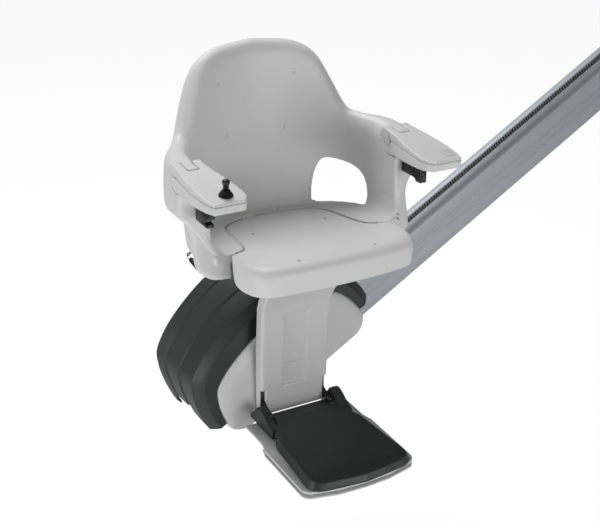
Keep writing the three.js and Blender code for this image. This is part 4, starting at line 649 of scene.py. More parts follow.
def settle(obj):
    """Makes what obj's modifiers show its own mesh."""
    graph = bpy.context.evaluated_depsgraph_get()
    graph.update()
    mesh = bpy.data.meshes.new_from_object(obj.evaluated_get(graph))
    old = obj.data
    obj.modifiers.clear()
    obj.data = mesh
    bpy.data.meshes.remove(old)


def carve(obj, tools, operation="DIFFERENCE"):
    """Cuts the tools out of obj, keeps only what it shares with them, or adds them to it."""
    drafts = [draft(tool, "tool") for tool in tools]
    for tool in drafts:
        modifier = obj.modifiers.new("carve", "BOOLEAN")
        modifier.object = tool
        modifier.operation = operation
        modifier.solver = "MANIFOLD"
    settle(obj)
    for tool in drafts:
        discard(tool)
    return obj


def gather(obj, others):
    """Adds the meshes of other objects to obj's mesh."""
    bm = bmesh.new()
    bm.from_mesh(obj.data)
    for other in others:
        bm.from_mesh(other.data)
        discard(other)
    bm.to_mesh(obj.data)
    bm.free()


def mould(obj, fineness, smoothing, keep):
    """Melts obj's solids into one skin with soft edges, and keeps a share of its faces.

    The cell is one of the user's settings.
    """
    cell = getattr(bpy.context.scene.stairlift_mould, fineness) / MM
    remesh = obj.modifiers.new("mould", "REMESH")
    remesh.mode = "VOXEL"
    remesh.voxel_size = cell * 1
    soft = obj.modifiers.new("soft", "SMOOTH")
    soft.factor = 0.5
    soft.iterations = smoothing
    thin = obj.modifiers.new("thin", "DECIMATE")
    thin.ratio = keep
    settle(obj)


def finished(obj, place, body, nodes, slot, angle=40):
    """Puts a draft in its place in metres, finishes it, ties it to its body and hides the CAD nodes that
    it stands for.
    """
    obj.data.transform(place)
    obj.data.shade_smooth()
    obj.data.set_sharp_from_angle(angle=math.radians(angle))
    obj.data.materials.clear()
    obj.data.materials.append(finish(slot))
    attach(obj, body)
    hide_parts(*nodes)


# Materials


def bare_material(name, shade, roughness):
    material = bpy.data.materials.new(name)
    material.use_nodes = True
    shader = material.node_tree.nodes["Principled BSDF"]
    shader.inputs["Base Color"].default_value = (*shade, 1)
    shader.inputs["Roughness"].default_value = roughness
    return material, material.node_tree, shader


def wire(tree, *pairs):
    """Joins sockets of a node tree, each pair an output and the input that it feeds."""
    for output, fed in pairs:
        tree.links.new(output, fed)


def grain(tree, shader, scale, height):
    """A fine relief on the surface, from noise in the object's own space. Returns its mapping."""
    place = tree.nodes.new("ShaderNodeTexCoord")
    mapping = tree.nodes.new("ShaderNodeMapping")
    noise = tree.nodes.new("ShaderNodeTexNoise")
    noise.inputs["Scale"].default_value = scale
    noise.inputs["Detail"].default_value = GRAIN_DETAIL
    bump = tree.nodes.new("ShaderNodeBump")
    bump.inputs["Strength"].default_value = GRAIN_STRENGTH
    bump.inputs["Distance"].default_value = height
    wire(
        tree, (place.outputs["Object"], mapping.inputs["Vector"]),
        (mapping.outputs["Vector"], noise.inputs["Vector"]),
        (noise.outputs["Fac"], bump.inputs["Height"]), (bump.outputs["Normal"], shader.inputs["Normal"]),
    )
    return mapping


def moulded_plastic(name, shade, roughness, relief=0.00008):
    """Injection moulded plastic, with a fine spark-eroded texture where it has any relief."""
    material, tree, shader = bare_material(name, shade, roughness)
    shader.inputs["IOR"].default_value = PLASTIC_IOR
    if relief > 0:
        grain(tree, shader, PLASTIC_GRAIN, relief)
    return material


def soft_rubber(name, shade):
    material, tree, shader = bare_material(name, shade, 0.8)
    shader.inputs["Specular IOR Level"].default_value = 0.3
    grain(tree, shader, RUBBER_GRAIN, COARSE_RELIEF)
    return material


def brushed_metal(name, shade, roughness, metallic, turn=0.0):
    """Metal with a fine grain along its length, turned with the rail where it lies along it."""
    material, tree, shader = bare_material(name, shade, roughness)
    shader.inputs["Metallic"].default_value = metallic
    mapping = grain(tree, shader, BRUSH_GRAIN, BRUSH_RELIEF)
    mapping.vector_type = "TEXTURE"
    mapping.inputs["Scale"].default_value = [1 / stretch for stretch in BRUSH_STRETCH]
    mapping.inputs["Rotation"].default_value = (0, turn, 0)
    return material


def powder_coat(name, shade):
    material, tree, shader = bare_material(name, shade, 0.5)
    shader.inputs["Coat Weight"].default_value = 0.2
    shader.inputs["Coat Roughness"].default_value = 0.35
    grain(tree, shader, POWDER_GRAIN, COARSE_RELIEF)
    return material


def polished_metal(name, shade):
    material, _, shader = bare_material(name, shade, 0.08)
    shader.inputs["Metallic"].default_value = 1.0
    return material


def finish(slot):
    """The material of one of the record's slots, made once."""
    name = "stairlift_" + slot
    made = bpy.data.materials.get(name)
    if made:
        return made
    shades = bpy.context.scene.stairlift_finish
    make, *values = {
        "shell_grey": (moulded_plastic, shades.shell, 0.46),
        "light_grey": (moulded_plastic, shades.cover, 0.42, 0.00005),
        "dark_grey": (moulded_plastic, shades.dark, 0.5, 0.00012),
        "black_plastic": (moulded_plastic, shades.black, 0.38),
        "board_green": (moulded_plastic, shades.board, 0.35, 0),
        "roller_rubber": (soft_rubber, shades.rubber),
        "aluminium": (brushed_metal, shades.aluminium, 0.55, 0.3, -SLOPE),
        "steel": (brushed_metal, shades.steel, 0.34, 1.0),
        "black_steel": (powder_coat, shades.powder),
        "chrome": (polished_metal, shades.chrome),
    }[slot]
    return make(name, *values)


# Seat shell


def bowl(turn):
    """Where the inner face stands at a share of a quarter turn from the side to mid-back."""
    angle = turn * math.pi / 2
    power = 2 / BOW_POWER
    return (INNER_HALF_WIDTH * max(0, math.cos(angle)) ** power, INNER_DEPTH * math.sin(angle) ** power)


def bowl_normal(across, back):
    power = BOW_POWER - 1
    return Vector((
        (max(0, across) / INNER_HALF_WIDTH) ** power / INNER_HALF_WIDTH,
        (max(0, back) / INNER_DEPTH) ** power / INNER_DEPTH,
    )).normalized()


def wall_section(thickness, rim, floor, inset):
    """The wall's section, by distance out from the inner face and by height."""
    points = [(u * FLOOR_FILLET, floor + v * FLOOR_FILLET) for u, v in FILLET_SHARES]
    points.append((0, (floor + rim) / 2))
    points += [(u * RIM_INNER, rim - v * RIM_INNER) for u, v in RIM_INNER_SHARES]
    points += [(thickness - u * RIM_OUTER, rim - v * RIM_OUTER) for u, v in RIM_OUTER_SHARES]
    points += [(thickness - u * inset, v * STEP_HEIGHT) for u, v in LEG_SHARES]
    heel = max(FILLET_SHARES[2][0] * FLOOR_FILLET, thickness - HEEL_SHARES[0][0] * inset)
    points.append((heel, HEEL_SHARES[0][1] * STEP_HEIGHT))
    points.append((HEEL_SHARES[1][0] * FLOOR_FILLET, HEEL_SHARES[1][1] * STEP_HEIGHT))
    return points


def seat_height_at(back):
    return -SEAT_RISE * back


def wall_rings(inset, straights=8, turns=44):
    """Rings of the wall's skin, from the front of the left side round the back to the right side's."""
    places = []
    for step in range(straights):
        places.append((INNER_HALF_WIDTH, -SIDE_FRONT * (1 - step / straights), Vector((1, 0)), 0))
    for step in range(turns + 1):
        turn = step / turns
        x, y = bowl(turn)
        places.append((x, y, bowl_normal(x, y), turn))

    def ring(place, side, nose=None):
        x, y, normal, turn = place
        floor = seat_height_at(y)
        thickness = SIDE_WALL + (BACK_WALL - SIDE_WALL) * smooth_step(turn, *WALL_THINS)
        rim = SIDE_RIM + reading(RIM_SHARES, turn)[1] * (BACK_RIM - SIDE_RIM)
        tuck = LEG_INSET * thickness / SIDE_WALL * (1 + LEG_TUCK * smooth_step(y, -SIDE_FRONT, 0))
        section = wall_section(thickness, rim, floor, tuck)
        if inset > 0:
            section = list(reversed(offset(list(reversed(section)), -inset)))
            section = [Vector(section[i]) for i in CAVITY_POINTS]
            section[0].y = floor - FLOOR_THICKNESS
            section[-1] = Vector((section[0].x, -FOOT_FRONT))
        outline = straight(section, 4) if inset > 0 else curve(section, 4)
        pulled = 0
        if nose is not None:
            outline = list(reversed(offset(list(reversed(outline)), -NOSE * (1 - math.cos(nose)))))
            pulled = NOSE * (1 - math.sin(nose))
        fade = min(1, max(0, (-y - SIDE_FRONT / 2) / (SIDE_FRONT / 2)))
        points = []
        for d, z in outline:
            forward = (FOOT_FRONT - SIDE_FRONT) * smooth_step(-z, -SWEEP_TOP, -SWEEP_FOOT)
            forward -= SIDE_SWEEP * max(0, d) / SIDE_WALL
            forward = forward * fade - pulled - (inset if fade == 1 else 0)
            points.append(((x + normal.x * d) * side, y + normal.y * d - forward, z))
        return points

    noses = [None] if inset > 0 else [math.radians(angle) for angle in NOSE_ANGLES]
    left, right = (
        [ring(places[0], side, nose) for nose in noses] + [ring(place, side) for place in places[1:]]
        for side in (1, -1)
    )
    return left + list(reversed(right[:-1]))


def panel_outline(grow):
    side = [(u * PANEL_HALF_WIDTH, v * PANEL_REAR) for u, v in PANEL_REAR_SHARES]
    side += [(u * PANEL_HALF_WIDTH, v * PANEL_FRONT) for u, v in PANEL_FRONT_SHARES]
    left = [(-x, y) for x, y in side[1:-1]]
    full = curve(list(reversed(side + list(reversed(left)))), 5, closed=True)
    return offset(full, grow)


def panel_space():
    """All that lies above and below the seat panel and its seam, still level."""
    return prism_z(panel_outline(PANEL_SEAM), -FOOT_FRONT, FOOT_FRONT)


def window_tool(side, lining):
    height = WINDOW_TOP - WINDOW_BOTTOM
    opening = [(u * WINDOW_HALF_WIDTH, WINDOW_BOTTOM + v * height) for u, v in WINDOW_SHARES]
    outline = offset(curve(list(reversed(opening)), 5, closed=True), lining)
    tool = prism_y(outline, -WINDOW_IN, WINDOW_OUT)
    turn = Matrix.Rotation(WINDOW_TURN - math.pi / 2, 4, "Z")
    tool = moved(tool, Matrix.Translation((INNER_HALF_WIDTH - WINDOW_INSET, WINDOW_BACK, 0)) @ turn)
    return mirrored(tool) if side < 0 else tool


def arm_top_at(y):
    return PIVOT_HEIGHT + REAR_RISE + (FRONT_RISE - REAR_RISE) * (ROOT_FRONT - y) / ARM_LENGTH


def arm_envelope():
    """What the left arm sweeps as it folds, as tools that cut the wall."""
    inner = ARM_INNER - SIDE_WALL / 2
    outer = ARM_OUTER + SIDE_WALL / 2
    reach = HINGE_RADIUS + RUNNING_GAP
    top = SIDE_RIM + SIDE_WALL
    return [
        rod("X", reach, inner, outer, PIVOT, sides=96),
        block(inner, outer, -ARM_LENGTH - FOOT_FRONT, PIVOT_BACK, PIVOT_HEIGHT - reach, top),
        block(inner, outer, PIVOT_BACK, ROOT_FRONT + GAP, PIVOT_HEIGHT, top),
    ]


def hinge_tongue():
    """The left arm's tongue on the wall: a block with a round nose."""
    outer = TONGUE_INNER + TONGUE_WIDTH
    root = ROOT_FRONT + SKIN * 2
    foot = PIVOT_HEIGHT - TONGUE_RADIUS
    top = arm_top_at(PIVOT_BACK)
    side = [(root, foot), (root, arm_top_at(root)), (PIVOT_BACK, top), (PIVOT_BACK, foot)]
    body = draft(prism_x(side, TONGUE_INNER, outer), "tongue")
    nose = draft(rod("X", TONGUE_RADIUS, TONGUE_INNER, outer, PIVOT, sides=64), "nose")
    carve(nose, [block(TONGUE_INNER - OVERRUN, outer + OVERRUN, PIVOT_BACK - TONGUE_RADIUS * 2,
                       PIVOT_BACK + TONGUE_RADIUS * 2, top, PIVOT_HEIGHT * 2)])
    return [body, nose]


def mirrored_draft(obj):
    copy = linked(obj.name, obj.data.copy())
    copy.data.transform(MIRROR)
    copy.data.flip_normals()
    return copy


def dimple(across, up, side):
    """The ball that leaves a shallow fixing mark in the back, by its shares of the back's size."""
    back = INNER_DEPTH * (1 - across ** BOW_POWER) ** (1 / BOW_POWER)
    bm = bmesh.new()
    bmesh.ops.create_uvsphere(bm, u_segments=32, v_segments=16, radius=DIMPLE_RADIUS)
    middle = (side * across * INNER_HALF_WIDTH, back - DIMPLE_RADIUS + DIMPLE_DEPTH, up * BACK_RIM)
    return moved(bm, Matrix.Translation(middle))


def seat_floor():
    """Drafts of the floor, open for the panel and its knuckles, and of the hinge's bosses."""
    rim = []
    for step in range(FLOOR_STEPS * 2 + 1):
        x, y = bowl(1 - abs(1 - step / FLOOR_STEPS))
        rim.append((-x - OVERRUN if step > FLOOR_STEPS else x + OVERRUN, y + OVERRUN))
    front = OVERRUN - FOOT_FRONT
    rim += [(-INNER_HALF_WIDTH - OVERRUN, front), (INNER_HALF_WIDTH + OVERRUN, front)]
    floor = draft(sheared(prism_z(rim, -FLOOR_THICKNESS, 0)), "floor")
    centre = (KNUCKLE_BACK, seat_height_at(KNUCKLE_BACK))
    notches = []
    bosses = []
    for side in (1, -1):
        ends = sided(side, KNUCKLE_START - RUNNING_GAP, KNUCKLE_END + RUNNING_GAP)
        notches.append(block(*ends, PANEL_REAR - KNUCKLE_RADIUS * 2,
                             KNUCKLE_BACK + KNUCKLE_RADIUS + RUNNING_GAP, -FOOT_FRONT, FOOT_FRONT / 2))
        for near, far in ((KNUCKLE_START - KNUCKLE_BOSS, KNUCKLE_START - RUNNING_GAP),
                          (KNUCKLE_END + RUNNING_GAP, KNUCKLE_END + KNUCKLE_BOSS)):
            ends = sided(side, near, far)
            bosses.append(draft(rod("X", KNUCKLE_RADIUS, *ends, centre, sides=32), "boss"))
    carve(floor, [sheared(panel_space())] + notches)
    return [floor] + bosses


def panel_lip():
    """The low bead round the panel's opening, without the part ahead of the seat."""
    grown = panel_outline(PANEL_SEAM + LIP_WIDTH)
    lip = draft(prism_z(grown, -FLOOR_THICKNESS / 2, LIP_HEIGHT), "lip")
    carve(lip, [panel_space()])
    carve(lip, [block(-INNER_HALF_WIDTH, INNER_HALF_WIDTH, NOSE - FOOT_FRONT, INNER_DEPTH,
                      -FOOT_FRONT, FOOT_FRONT)], "INTERSECT")
    return sheared(taken(lip))


class STAIRLIFT_OT_seat_shell(bpy.types.Operator):
    """Moulds the bucket seat with its rolled rim, windows, hinge tongues and floor"""

    bl_idname = "stairlift.seat_shell"
    bl_label = "Seat Shell"

    def execute(self, context):
        cavity = draft(skin(wall_rings(SKIN)), "cavity")
        carve(cavity, [window_tool(side, SKIN) for side in (1, -1)])
        tools = [taken(cavity), sheared(panel_space())]
        tools += [window_tool(side, 0) for side in (1, -1)]
        tools += arm_envelope() + [mirrored(tool) for tool in arm_envelope()]
        wall = carve(draft(skin(wall_rings(0)), "seat_shell_moulding"), tools)
        tongues = hinge_tongue()
        tongues += [mirrored_draft(tongue) for tongue in tongues]
        gather(wall, seat_floor() + tongues)
        mould(wall, "shell_grain", smoothing=3, keep=0.6)
        carve(wall, [panel_lip()], "UNION")
        carve(wall, [dimple(u, v, side) for u, v in BACK_HOLE_SHARES for side in (1, -1)])
        finished(wall, CHAIR, "seat", ["seat_shell"], "shell_grey", angle=60)
        return {"FINISHED"}


def panel_rings():
    """Rings of the panel's skin, from its hollow over the foot of its skirt to its flat face."""
    outline = panel_outline(0)
    edge = PANEL_REAR_RADIUS
    wall = SKIRT_WALL

    def frontness(y):
        return smooth_step(-y, SKIRT_START, SKIRT_START + SKIRT_BLEND)

    def radius_at(y):
        return edge + (PANEL_FRONT_RADIUS - edge) * smooth_step(-y, ROLL_START, ROLL_END)

    def foot_at(y):
        return -PANEL_THICKNESS - (SKIRT_DEPTH - PANEL_THICKNESS) * frontness(y)

    def ring(inset, level):
        points = []
        for index, point in enumerate(outline):
            after = outline[(index + 1) % len(outline)]
            along = (after - outline[index - 1]).normalized() * inset(point.y)
            points.append((point.x - along.y, point.y + along.x, level(point.y)))
        return points

    rings = [
        ring(lambda y: wall + radius_at(y), lambda y: -wall),
        ring(lambda y: wall + frontness(y) * edge / 2, lambda y: -radius_at(y) - wall),
        ring(lambda y: wall + frontness(y) * edge * 2, foot_at),
        ring(lambda y: 1 + frontness(y) * edge * 2, foot_at),
        ring(lambda y: frontness(y) * edge * 1.2, lambda y: foot_at(y) + edge * 0.4),
        ring(lambda y: frontness(y) * edge / 2, lambda y: foot_at(y) + edge * (1 + frontness(y) * 2)),
    ]
    for step in range(ROLL_STEPS + 1):
        angle = math.pi / 2 * step / ROLL_STEPS
        rings.append(ring(lambda y, a=angle: radius_at(y) * (1 - math.cos(a)),
                          lambda y, a=angle: -radius_at(y) * (1 - math.sin(a))))
    return rings


class STAIRLIFT_OT_seat_panel(bpy.types.Operator):
    """Shapes the lid of the seat with its deep rolled front"""

    bl_idname = "stairlift.seat_panel"
    bl_label = "Seat Panel"

    def execute(self, context):
        panel = draft(skin(panel_rings()), "seat_panel_moulding")
        carve(panel, [
            rod("Z", HOLE_RADIUS, -HOLE_DEPTH, OVERRUN, (side * u * PANEL_HALF_WIDTH, -v * PANEL_FRONT),
                sides=24)
            for u, v in SEAT_HOLE_SHARES for side in (1, -1)
        ])
        knuckles = []
        for side in (1, -1):
            ends = sided(side, KNUCKLE_START, KNUCKLE_END)
            knuckles.append(draft(rod("X", KNUCKLE_RADIUS, *ends, (KNUCKLE_BACK, 0), sides=32), "knuckle"))
            knuckles.append(draft(block(*ends, PANEL_REAR - KNUCKLE_RADIUS * 2, KNUCKLE_BACK,
                                        -KNUCKLE_RADIUS, 0), "knuckle"))
        gather(panel, knuckles)
        panel = draft(sheared(taken(panel)), "seat_panel_moulding")
        finished(panel, CHAIR, "seat_lid", ["seat_panel"], "shell_grey", angle=50)
        return {"FINISHED"}


# Arms


def arm_body():
    """The whole left arm before it is split at its seam."""
    front = ROOT_FRONT - ARM_LENGTH
    inner, outer = (
        curve([(ARM_INNER + row[edge] * ARM_WIDTH, PIVOT_BACK - row[0] * ARM_REACH)
               for row in ARM_SHARES], 4)
        for edge in (1, 2)
    )
    rear = PIVOT_BACK + HINGE_RADIUS + OVERRUN
    plan = [(ARM_INNER, rear), *inner, *reversed(outer), (ARM_OUTER, rear)]
    corner = math.degrees(math.atan2(arm_top_at(ROOT_FRONT) - PIVOT_HEIGHT, ROOT_FRONT - PIVOT_BACK))
    side = [(front, arm_top_at(front)), (front, PIVOT_HEIGHT - FRONT_DROP),
            (PIVOT_BACK, PIVOT_HEIGHT - HINGE_RADIUS)]
    side += arc(*PIVOT, HINGE_RADIUS, 270, 360 + corner, 36)[1:]
    body = draft(prism_z(plan, PIVOT_HEIGHT - ARM_LENGTH, PIVOT_HEIGHT + ARM_LENGTH), "arm")
    carve(body, [prism_x(side, 0, ARM_OUTER + ARM_LENGTH)], "INTERSECT")
    start = TONGUE_INNER - RUNNING_GAP
    end = TONGUE_INNER + TONGUE_WIDTH + RUNNING_GAP
    return carve(body, [
        rod("X", TONGUE_RADIUS + RUNNING_GAP, start, end, PIVOT, sides=64),
        block(start, end, PIVOT_BACK, PIVOT_BACK + HINGE_RADIUS * 2, PIVOT_HEIGHT - HINGE_RADIUS * 2,
              PIVOT_HEIGHT + HINGE_RADIUS * 2),
    ])


def seam_tool(upper):
    """All that lies on the far side of the arm's seam."""
    near = PIVOT_BACK + ARM_LENGTH
    far = PIVOT_BACK - ARM_LENGTH * 1.5
    shift = -GAP / 2 if upper else GAP / 2
    edge = -ARM_LENGTH if upper else ARM_LENGTH

    def seam(y):
        return PIVOT_HEIGHT + SEAM_RISE * (PIVOT_BACK - y) / ARM_LENGTH

    return prism_x([(near, seam(near) - shift), (far, seam(far) - shift), (far, seam(far) + edge),
                    (near, seam(near) + edge)], 0, ARM_OUTER + ARM_LENGTH)


def on_arm_top(bm, across):
    """Sets what was built level on an arm's sloping top, where its controls are."""
    place = Matrix.Translation((across, -CONTROL_FRONT, arm_top_at(-CONTROL_FRONT)))
    return moved(bm, place @ Matrix.Rotation(ARM_SLOPE, 4, "X"))


def rounded_box(width, length, corner):
    x = width / 2 - corner
    y = length / 2 - corner
    return (arc(x, y, corner, 0, 90, 10) + arc(-x, y, corner, 90, 180, 10)
            + arc(-x, -y, corner, 180, 270, 10) + arc(x, -y, corner, 270, 360, 10))


class STAIRLIFT_OT_arms(bpy.types.Operator):
    """Moulds the upper and lower half shells of both arms"""

    bl_idname = "stairlift.arms"
    bl_label = "Arms"

    def execute(self, context):
        for half in ("lower", "upper"):
            left = carve(arm_body(), [seam_tool(half == "upper")])
            mould(left, "small_grain", smoothing=4, keep=0.5)
            right = mirrored_draft(left)
            if half == "upper":
                opening = rounded_box(BUTTON_WIDTH + GAP * 2, BUTTON_LENGTH + GAP * 2, BUTTON_CORNER + GAP)
                pocket = prism_z(opening, -BUTTON_DEPTH - BUTTON_TRAVEL - GAP, OVERRUN)
                carve(left, [on_arm_top(pocket, BUTTON_ACROSS)])
                well = rod("Z", WELL_RADIUS, -SKIN * 2, OVERRUN, (0, 0))
                carve(right, [on_arm_top(well, -STICK_ACROSS)])
            for side, arm in (("left", left), ("right", right)):
                arm.name = f"arm_{side}_{half}_moulding"
                finished(arm, CHAIR, f"arm_{side}", [f"arm_{side}_{half}_shell"], "shell_grey", angle=45)
        return {"FINISHED"}


class STAIRLIFT_OT_controls(bpy.types.Operator):
    """Turns the joystick with its bellows and makes the call button and the pivot caps"""

    bl_idname = "stairlift.controls"
    bl_label = "Controls"

    def execute(self, context):
        boot = [(0, GAP)] + [(FLANGE_RADIUS + u, GAP + v) for u, v in FLANGE_PROFILE]
        steps = FOLDS * FOLD_STEPS
        for step in range(steps + 1):
            share = step / steps
            radius = BOOT_RADIUS + (NECK_RADIUS + GAP * 4 - BOOT_RADIUS) * share
            radius += FOLD_DEPTH * math.cos(share * FOLDS * math.tau)
            boot.append((radius, FOLD_START + (BOOT_HEIGHT - FOLD_START) * share))
        boot.append((0, BOOT_HEIGHT))
        obj = draft(on_arm_top(lathe(boot), -STICK_ACROSS), "joystick_bellows")
        finished(obj, CHAIR, "arm_right", ["joystick_boot"], "roller_rubber")

        foot = BOOT_HEIGHT + GAP
        stem = [(0, foot)] + arc(0, foot + NECK_RADIUS, NECK_RADIUS, -90, 0, 8)[1:]
        waist = (WAIST_SHARES[0] * NECK_RADIUS, WAIST_SHARES[1] * STICK_HEIGHT)
        knob = [(u * KNOB_RADIUS, v * STICK_HEIGHT) for u, v in KNOB_SHARES]
        stem += curve([(NECK_RADIUS, foot + NECK_RADIUS), waist, *knob], 6)[1:]
        obj = draft(on_arm_top(lathe(stem), -STICK_ACROSS), "joystick_knob")
        finished(obj, CHAIR, "joystick", ["joystick_stick"], "black_plastic")

        key = prism_z(rounded_box(BUTTON_WIDTH, BUTTON_LENGTH, BUTTON_CORNER), -BUTTON_DEPTH, BUTTON_PROUD)
        break_edges(key, KEY_BREAK, angle=45, segments=3)
        obj = draft(on_arm_top(key, BUTTON_ACROSS), "call_button_key")
        finished(obj, CHAIR, "call_key", ["call_button"], "light_grey")

        inner = [(before * ARM_REACH, ARM_INNER + near * ARM_WIDTH) for before, near, _ in ARM_SHARES]
        face = min(reading(inner, CAP_RADIUS)[1], ARM_INNER) - GAP
        for side, name in ((1, "left"), (-1, "right")):
            disc = rod("X", CAP_RADIUS, face - CAP_THICKNESS, face, PIVOT, sides=64)
            break_edges(disc, CAP_BREAK, angle=45, segments=3)
            obj = draft(mirrored(disc) if side < 0 else disc, f"arm_{name}_cap_disc")
            finished(obj, CHAIR, f"arm_{name}", [f"arm_{name}_pivot_cap"], "light_grey")
        return {"FINISHED"}


# Carriage covers


def arch(length, crown):
    """The arch of the hood from one foot over the crown to the other."""
    side = curve([(u * length, v * crown) for u, v in ARCH_SHARES], 5)
    side = [(x, max(z, HOOD_BOTTOM)) for x, z in side] + [(length, HOOD_BOTTOM)]
    return list(reversed(side[1:])) + [(-x, z) for x, z in side]


def on_carriage(x, up):
    """Turns a point's level place and height into its place along the carriage and up from it."""
    return (x * math.cos(SLOPE) + up * math.sin(SLOPE) - CARRIAGE_PLACE,
            up * math.cos(SLOPE) - x * math.sin(SLOPE))


class STAIRLIFT_OT_covers(bpy.types.Operator):
    """Shapes the banded dark hood and the light front cover of the carriage"""

    bl_idname = "stairlift.covers"
    bl_label = "Carriage Covers"

    def execute(self, context):
        levels = list(FRONT_LEVELS)
        for start, end in zip(HOOD_SHARES[1:], HOOD_SHARES[2:]):
            count = 1 if end[0] - start[0] < BAND_STEP else BAND_STEPS
            levels += [start[0] + (end[0] - start[0]) * (step + 1) / count for step in range(count)]
        rings = []
        for level in levels:
            high = next(i for i, row in enumerate(HOOD_SHARES) if row[0] >= level)
            low = HOOD_SHARES[max(0, high - 1)]
            top = HOOD_SHARES[high]
            share = 0 if top[0] == low[0] else (level - low[0]) / (top[0] - low[0])
            length = HOOD_LENGTH * (low[1] + (top[1] - low[1]) * share)
            crown = HOOD_CROWN * (low[2] + (top[2] - low[2]) * share)
            outer = arch(length, crown)
            if level in FRONT_LEVELS:
                inner = arch(COVER_LENGTH + GAP, COVER_HEIGHT + GAP)
            else:
                inner = arch(length - HOOD_WALL, crown - HOOD_WALL)
            depth = HOOD_FRONT + level * (HOOD_BACK - HOOD_FRONT)
            rings.append([(x, depth, z) for x, z in outer + list(reversed(inner))])
        hood = draft(skin(rings), "hood_moulding")
        reach = HOOD_LENGTH * 2
        carve(hood, [
            block(-reach, reach, TUNNEL_FRONT, TUNNEL_BACK, 0, TUNNEL_HEIGHT),
            block(-reach, reach, TUNNEL_BACK - OVERRUN, HOOD_BACK + OVERRUN, 0, TAIL_HEIGHT),
        ])
        finished(hood, CARRIAGE, "carriage", ["carriage_hood"], "dark_grey", angle=16)

        side = curve([(u * COVER_LENGTH, v * COVER_HEIGHT) for u, v in ARCH_SHARES], 5)
        foot = curve([(COVER_LENGTH + x, COVER_BOTTOM + z) for x, z in COVER_CORNER], 4)
        half = side + foot
        outline = list(reversed(half[1:])) + [(-x, z) for x, z in half]
        middle = (COVER_HEIGHT + COVER_BOTTOM) / 2

        def ring(inset, depth):
            along = 1 - inset / COVER_LENGTH
            up = 1 - inset / (middle - COVER_BOTTOM)
            return [(x * along, depth, middle + (z - middle) * up) for x, z in outline]

        bulge = COVER_BACK - COVER_FRONT
        inner = [ring(inset * bulge + COVER_WALL, COVER_BACK - bulge * depth + COVER_WALL)
                 for inset, depth in reversed(COVER_SHARES[1:])]
        rim = ring(COVER_WALL, COVER_BACK)
        outer = [ring(max(0, inset) * bulge, COVER_BACK - bulge * depth)
                 for inset, depth in curve(COVER_SHARES, 4)]
        cover = draft(skin([*inner, rim, *outer]), "front_cover_moulding")
        wide = NECK_HALF + RUNNING_GAP
        low = NECK_FOOT - RUNNING_GAP
        high = NECK_TOP + RUNNING_GAP
        neck = [on_carriage(x, z) for x, z in ((-wide, low), (wide, low), (wide, high), (-wide, high))]
        carve(cover, [prism_y(neck, 0, COVER_BACK + OVERRUN)])
        face = COVER_FRONT + COVER_WALL / 2
        centres = [(end * BOSS_ACROSS, height) for end in (-1, 1) for height in BOSS_HEIGHTS]
        bosses = [draft(rod("Y", BOSS_RADIUS, face, PLATE_FRONT - GAP, centre, sides=32), "boss")
                  for centre in centres]
        gather(cover, bosses)
        finished(cover, CARRIAGE, "carriage", ["carriage_front_cover"], "light_grey")
        return {"FINISHED"}


# Column


class STAIRLIFT_OT_column(bpy.types.Operator):
    """Moulds the footrest column's cover with its recessed panel and hinge slots"""

    bl_idname = "stairlift.column"
    bl_label = "Footrest Column"

    def execute(self, context):
        span = COLUMN_HEAD - COLUMN_FOOT

        def at(height):
            _, wide, back = reading(COLUMN_SHARES, (height - COLUMN_FOOT) / span)
            return wide * HEAD_HALF, COLUMN_FOOT_PLACE + back * (COLUMN_HEAD_PLACE - COLUMN_FOOT_PLACE)

        def section(height):
            half, front = at(height)
            back = front + COLUMN_DEPTH
            edge = COLUMN_EDGE
            inner = half - COLUMN_WALL
            floor = front + COLUMN_WALL + RECESS_DEPTH
            right = [(half, back)] + arc(half - edge, front + edge, edge, 0, -90, 8)
            left = [(-x, y) for x, y in reversed(right)]
            outline = right + left + [(-inner, back), (-inner, floor), (inner, floor), (inner, back)]
            return [(x, y, height) for x, y in outline]

        def recess(foot, top, half, depth, funnel):
            rings = []
            for step in range(RECESS_STEPS + 1):
                height = foot + (top - foot) * step / RECESS_STEPS
                _, front = at(height)
                start = top - max(funnel, SEAM_WIDTH) * FLARE_RUN
                wide = half + funnel * smooth_step(height, start, top)
                deep = wide - depth / 2
                corners = ((-wide, -OVERRUN * 3), (wide, -OVERRUN * 3), (deep, depth), (-deep, depth))
                rings.append([(x, front + y, height) for x, y in corners])
            return skin(rings)

        heights = [COLUMN_FOOT + span * step / COLUMN_STEPS for step in range(COLUMN_STEPS + 1)]
        column = draft(skin([section(height) for height in heights]), "column_moulding")
        tools = [recess(RECESS_BOTTOM, RECESS_TOP, RECESS_HALF, RECESS_DEPTH, RECESS_FLARE)]
        half, front = at(COLUMN_FOOT)
        for side in (1, -1):
            ends = sided(side, SLOT_INNER, half + OVERRUN)
            tools.append(block(*ends, front - OVERRUN, front + COLUMN_WALL + RECESS_DEPTH + OVERRUN,
                               COLUMN_FOOT - OVERRUN, SLOT_TOP))
        carve(column, tools)
        mould(column, "small_grain", smoothing=3, keep=0.6)
        carve(column, [recess(SEAM_PLACE, SEAM_PLACE + SEAM_WIDTH, RECESS_HALF - RECESS_DEPTH,
                              RECESS_DEPTH + SEAM_WIDTH, 0)])
        finished(column, CHAIR, "carriage", ["footrest_column_cover"], "light_grey", angle=50)
        return {"FINISHED"}


# Footrest


def pad_outline(grow):
    side = []
    for before, wide in PAD_SHARES:
        side.append((0 if wide == 0 else wide * PAD_HALF + grow,
                     -before * PAD_FRONT - (grow if wide == 0 else grow / 2)))
    half = [(BRACKET_OUTER, -SLOT_FRONT)] + [tuple(p) for p in curve(side, 4)]
    return [(-x, y) for x, y in half[:-1]] + list(reversed(half))


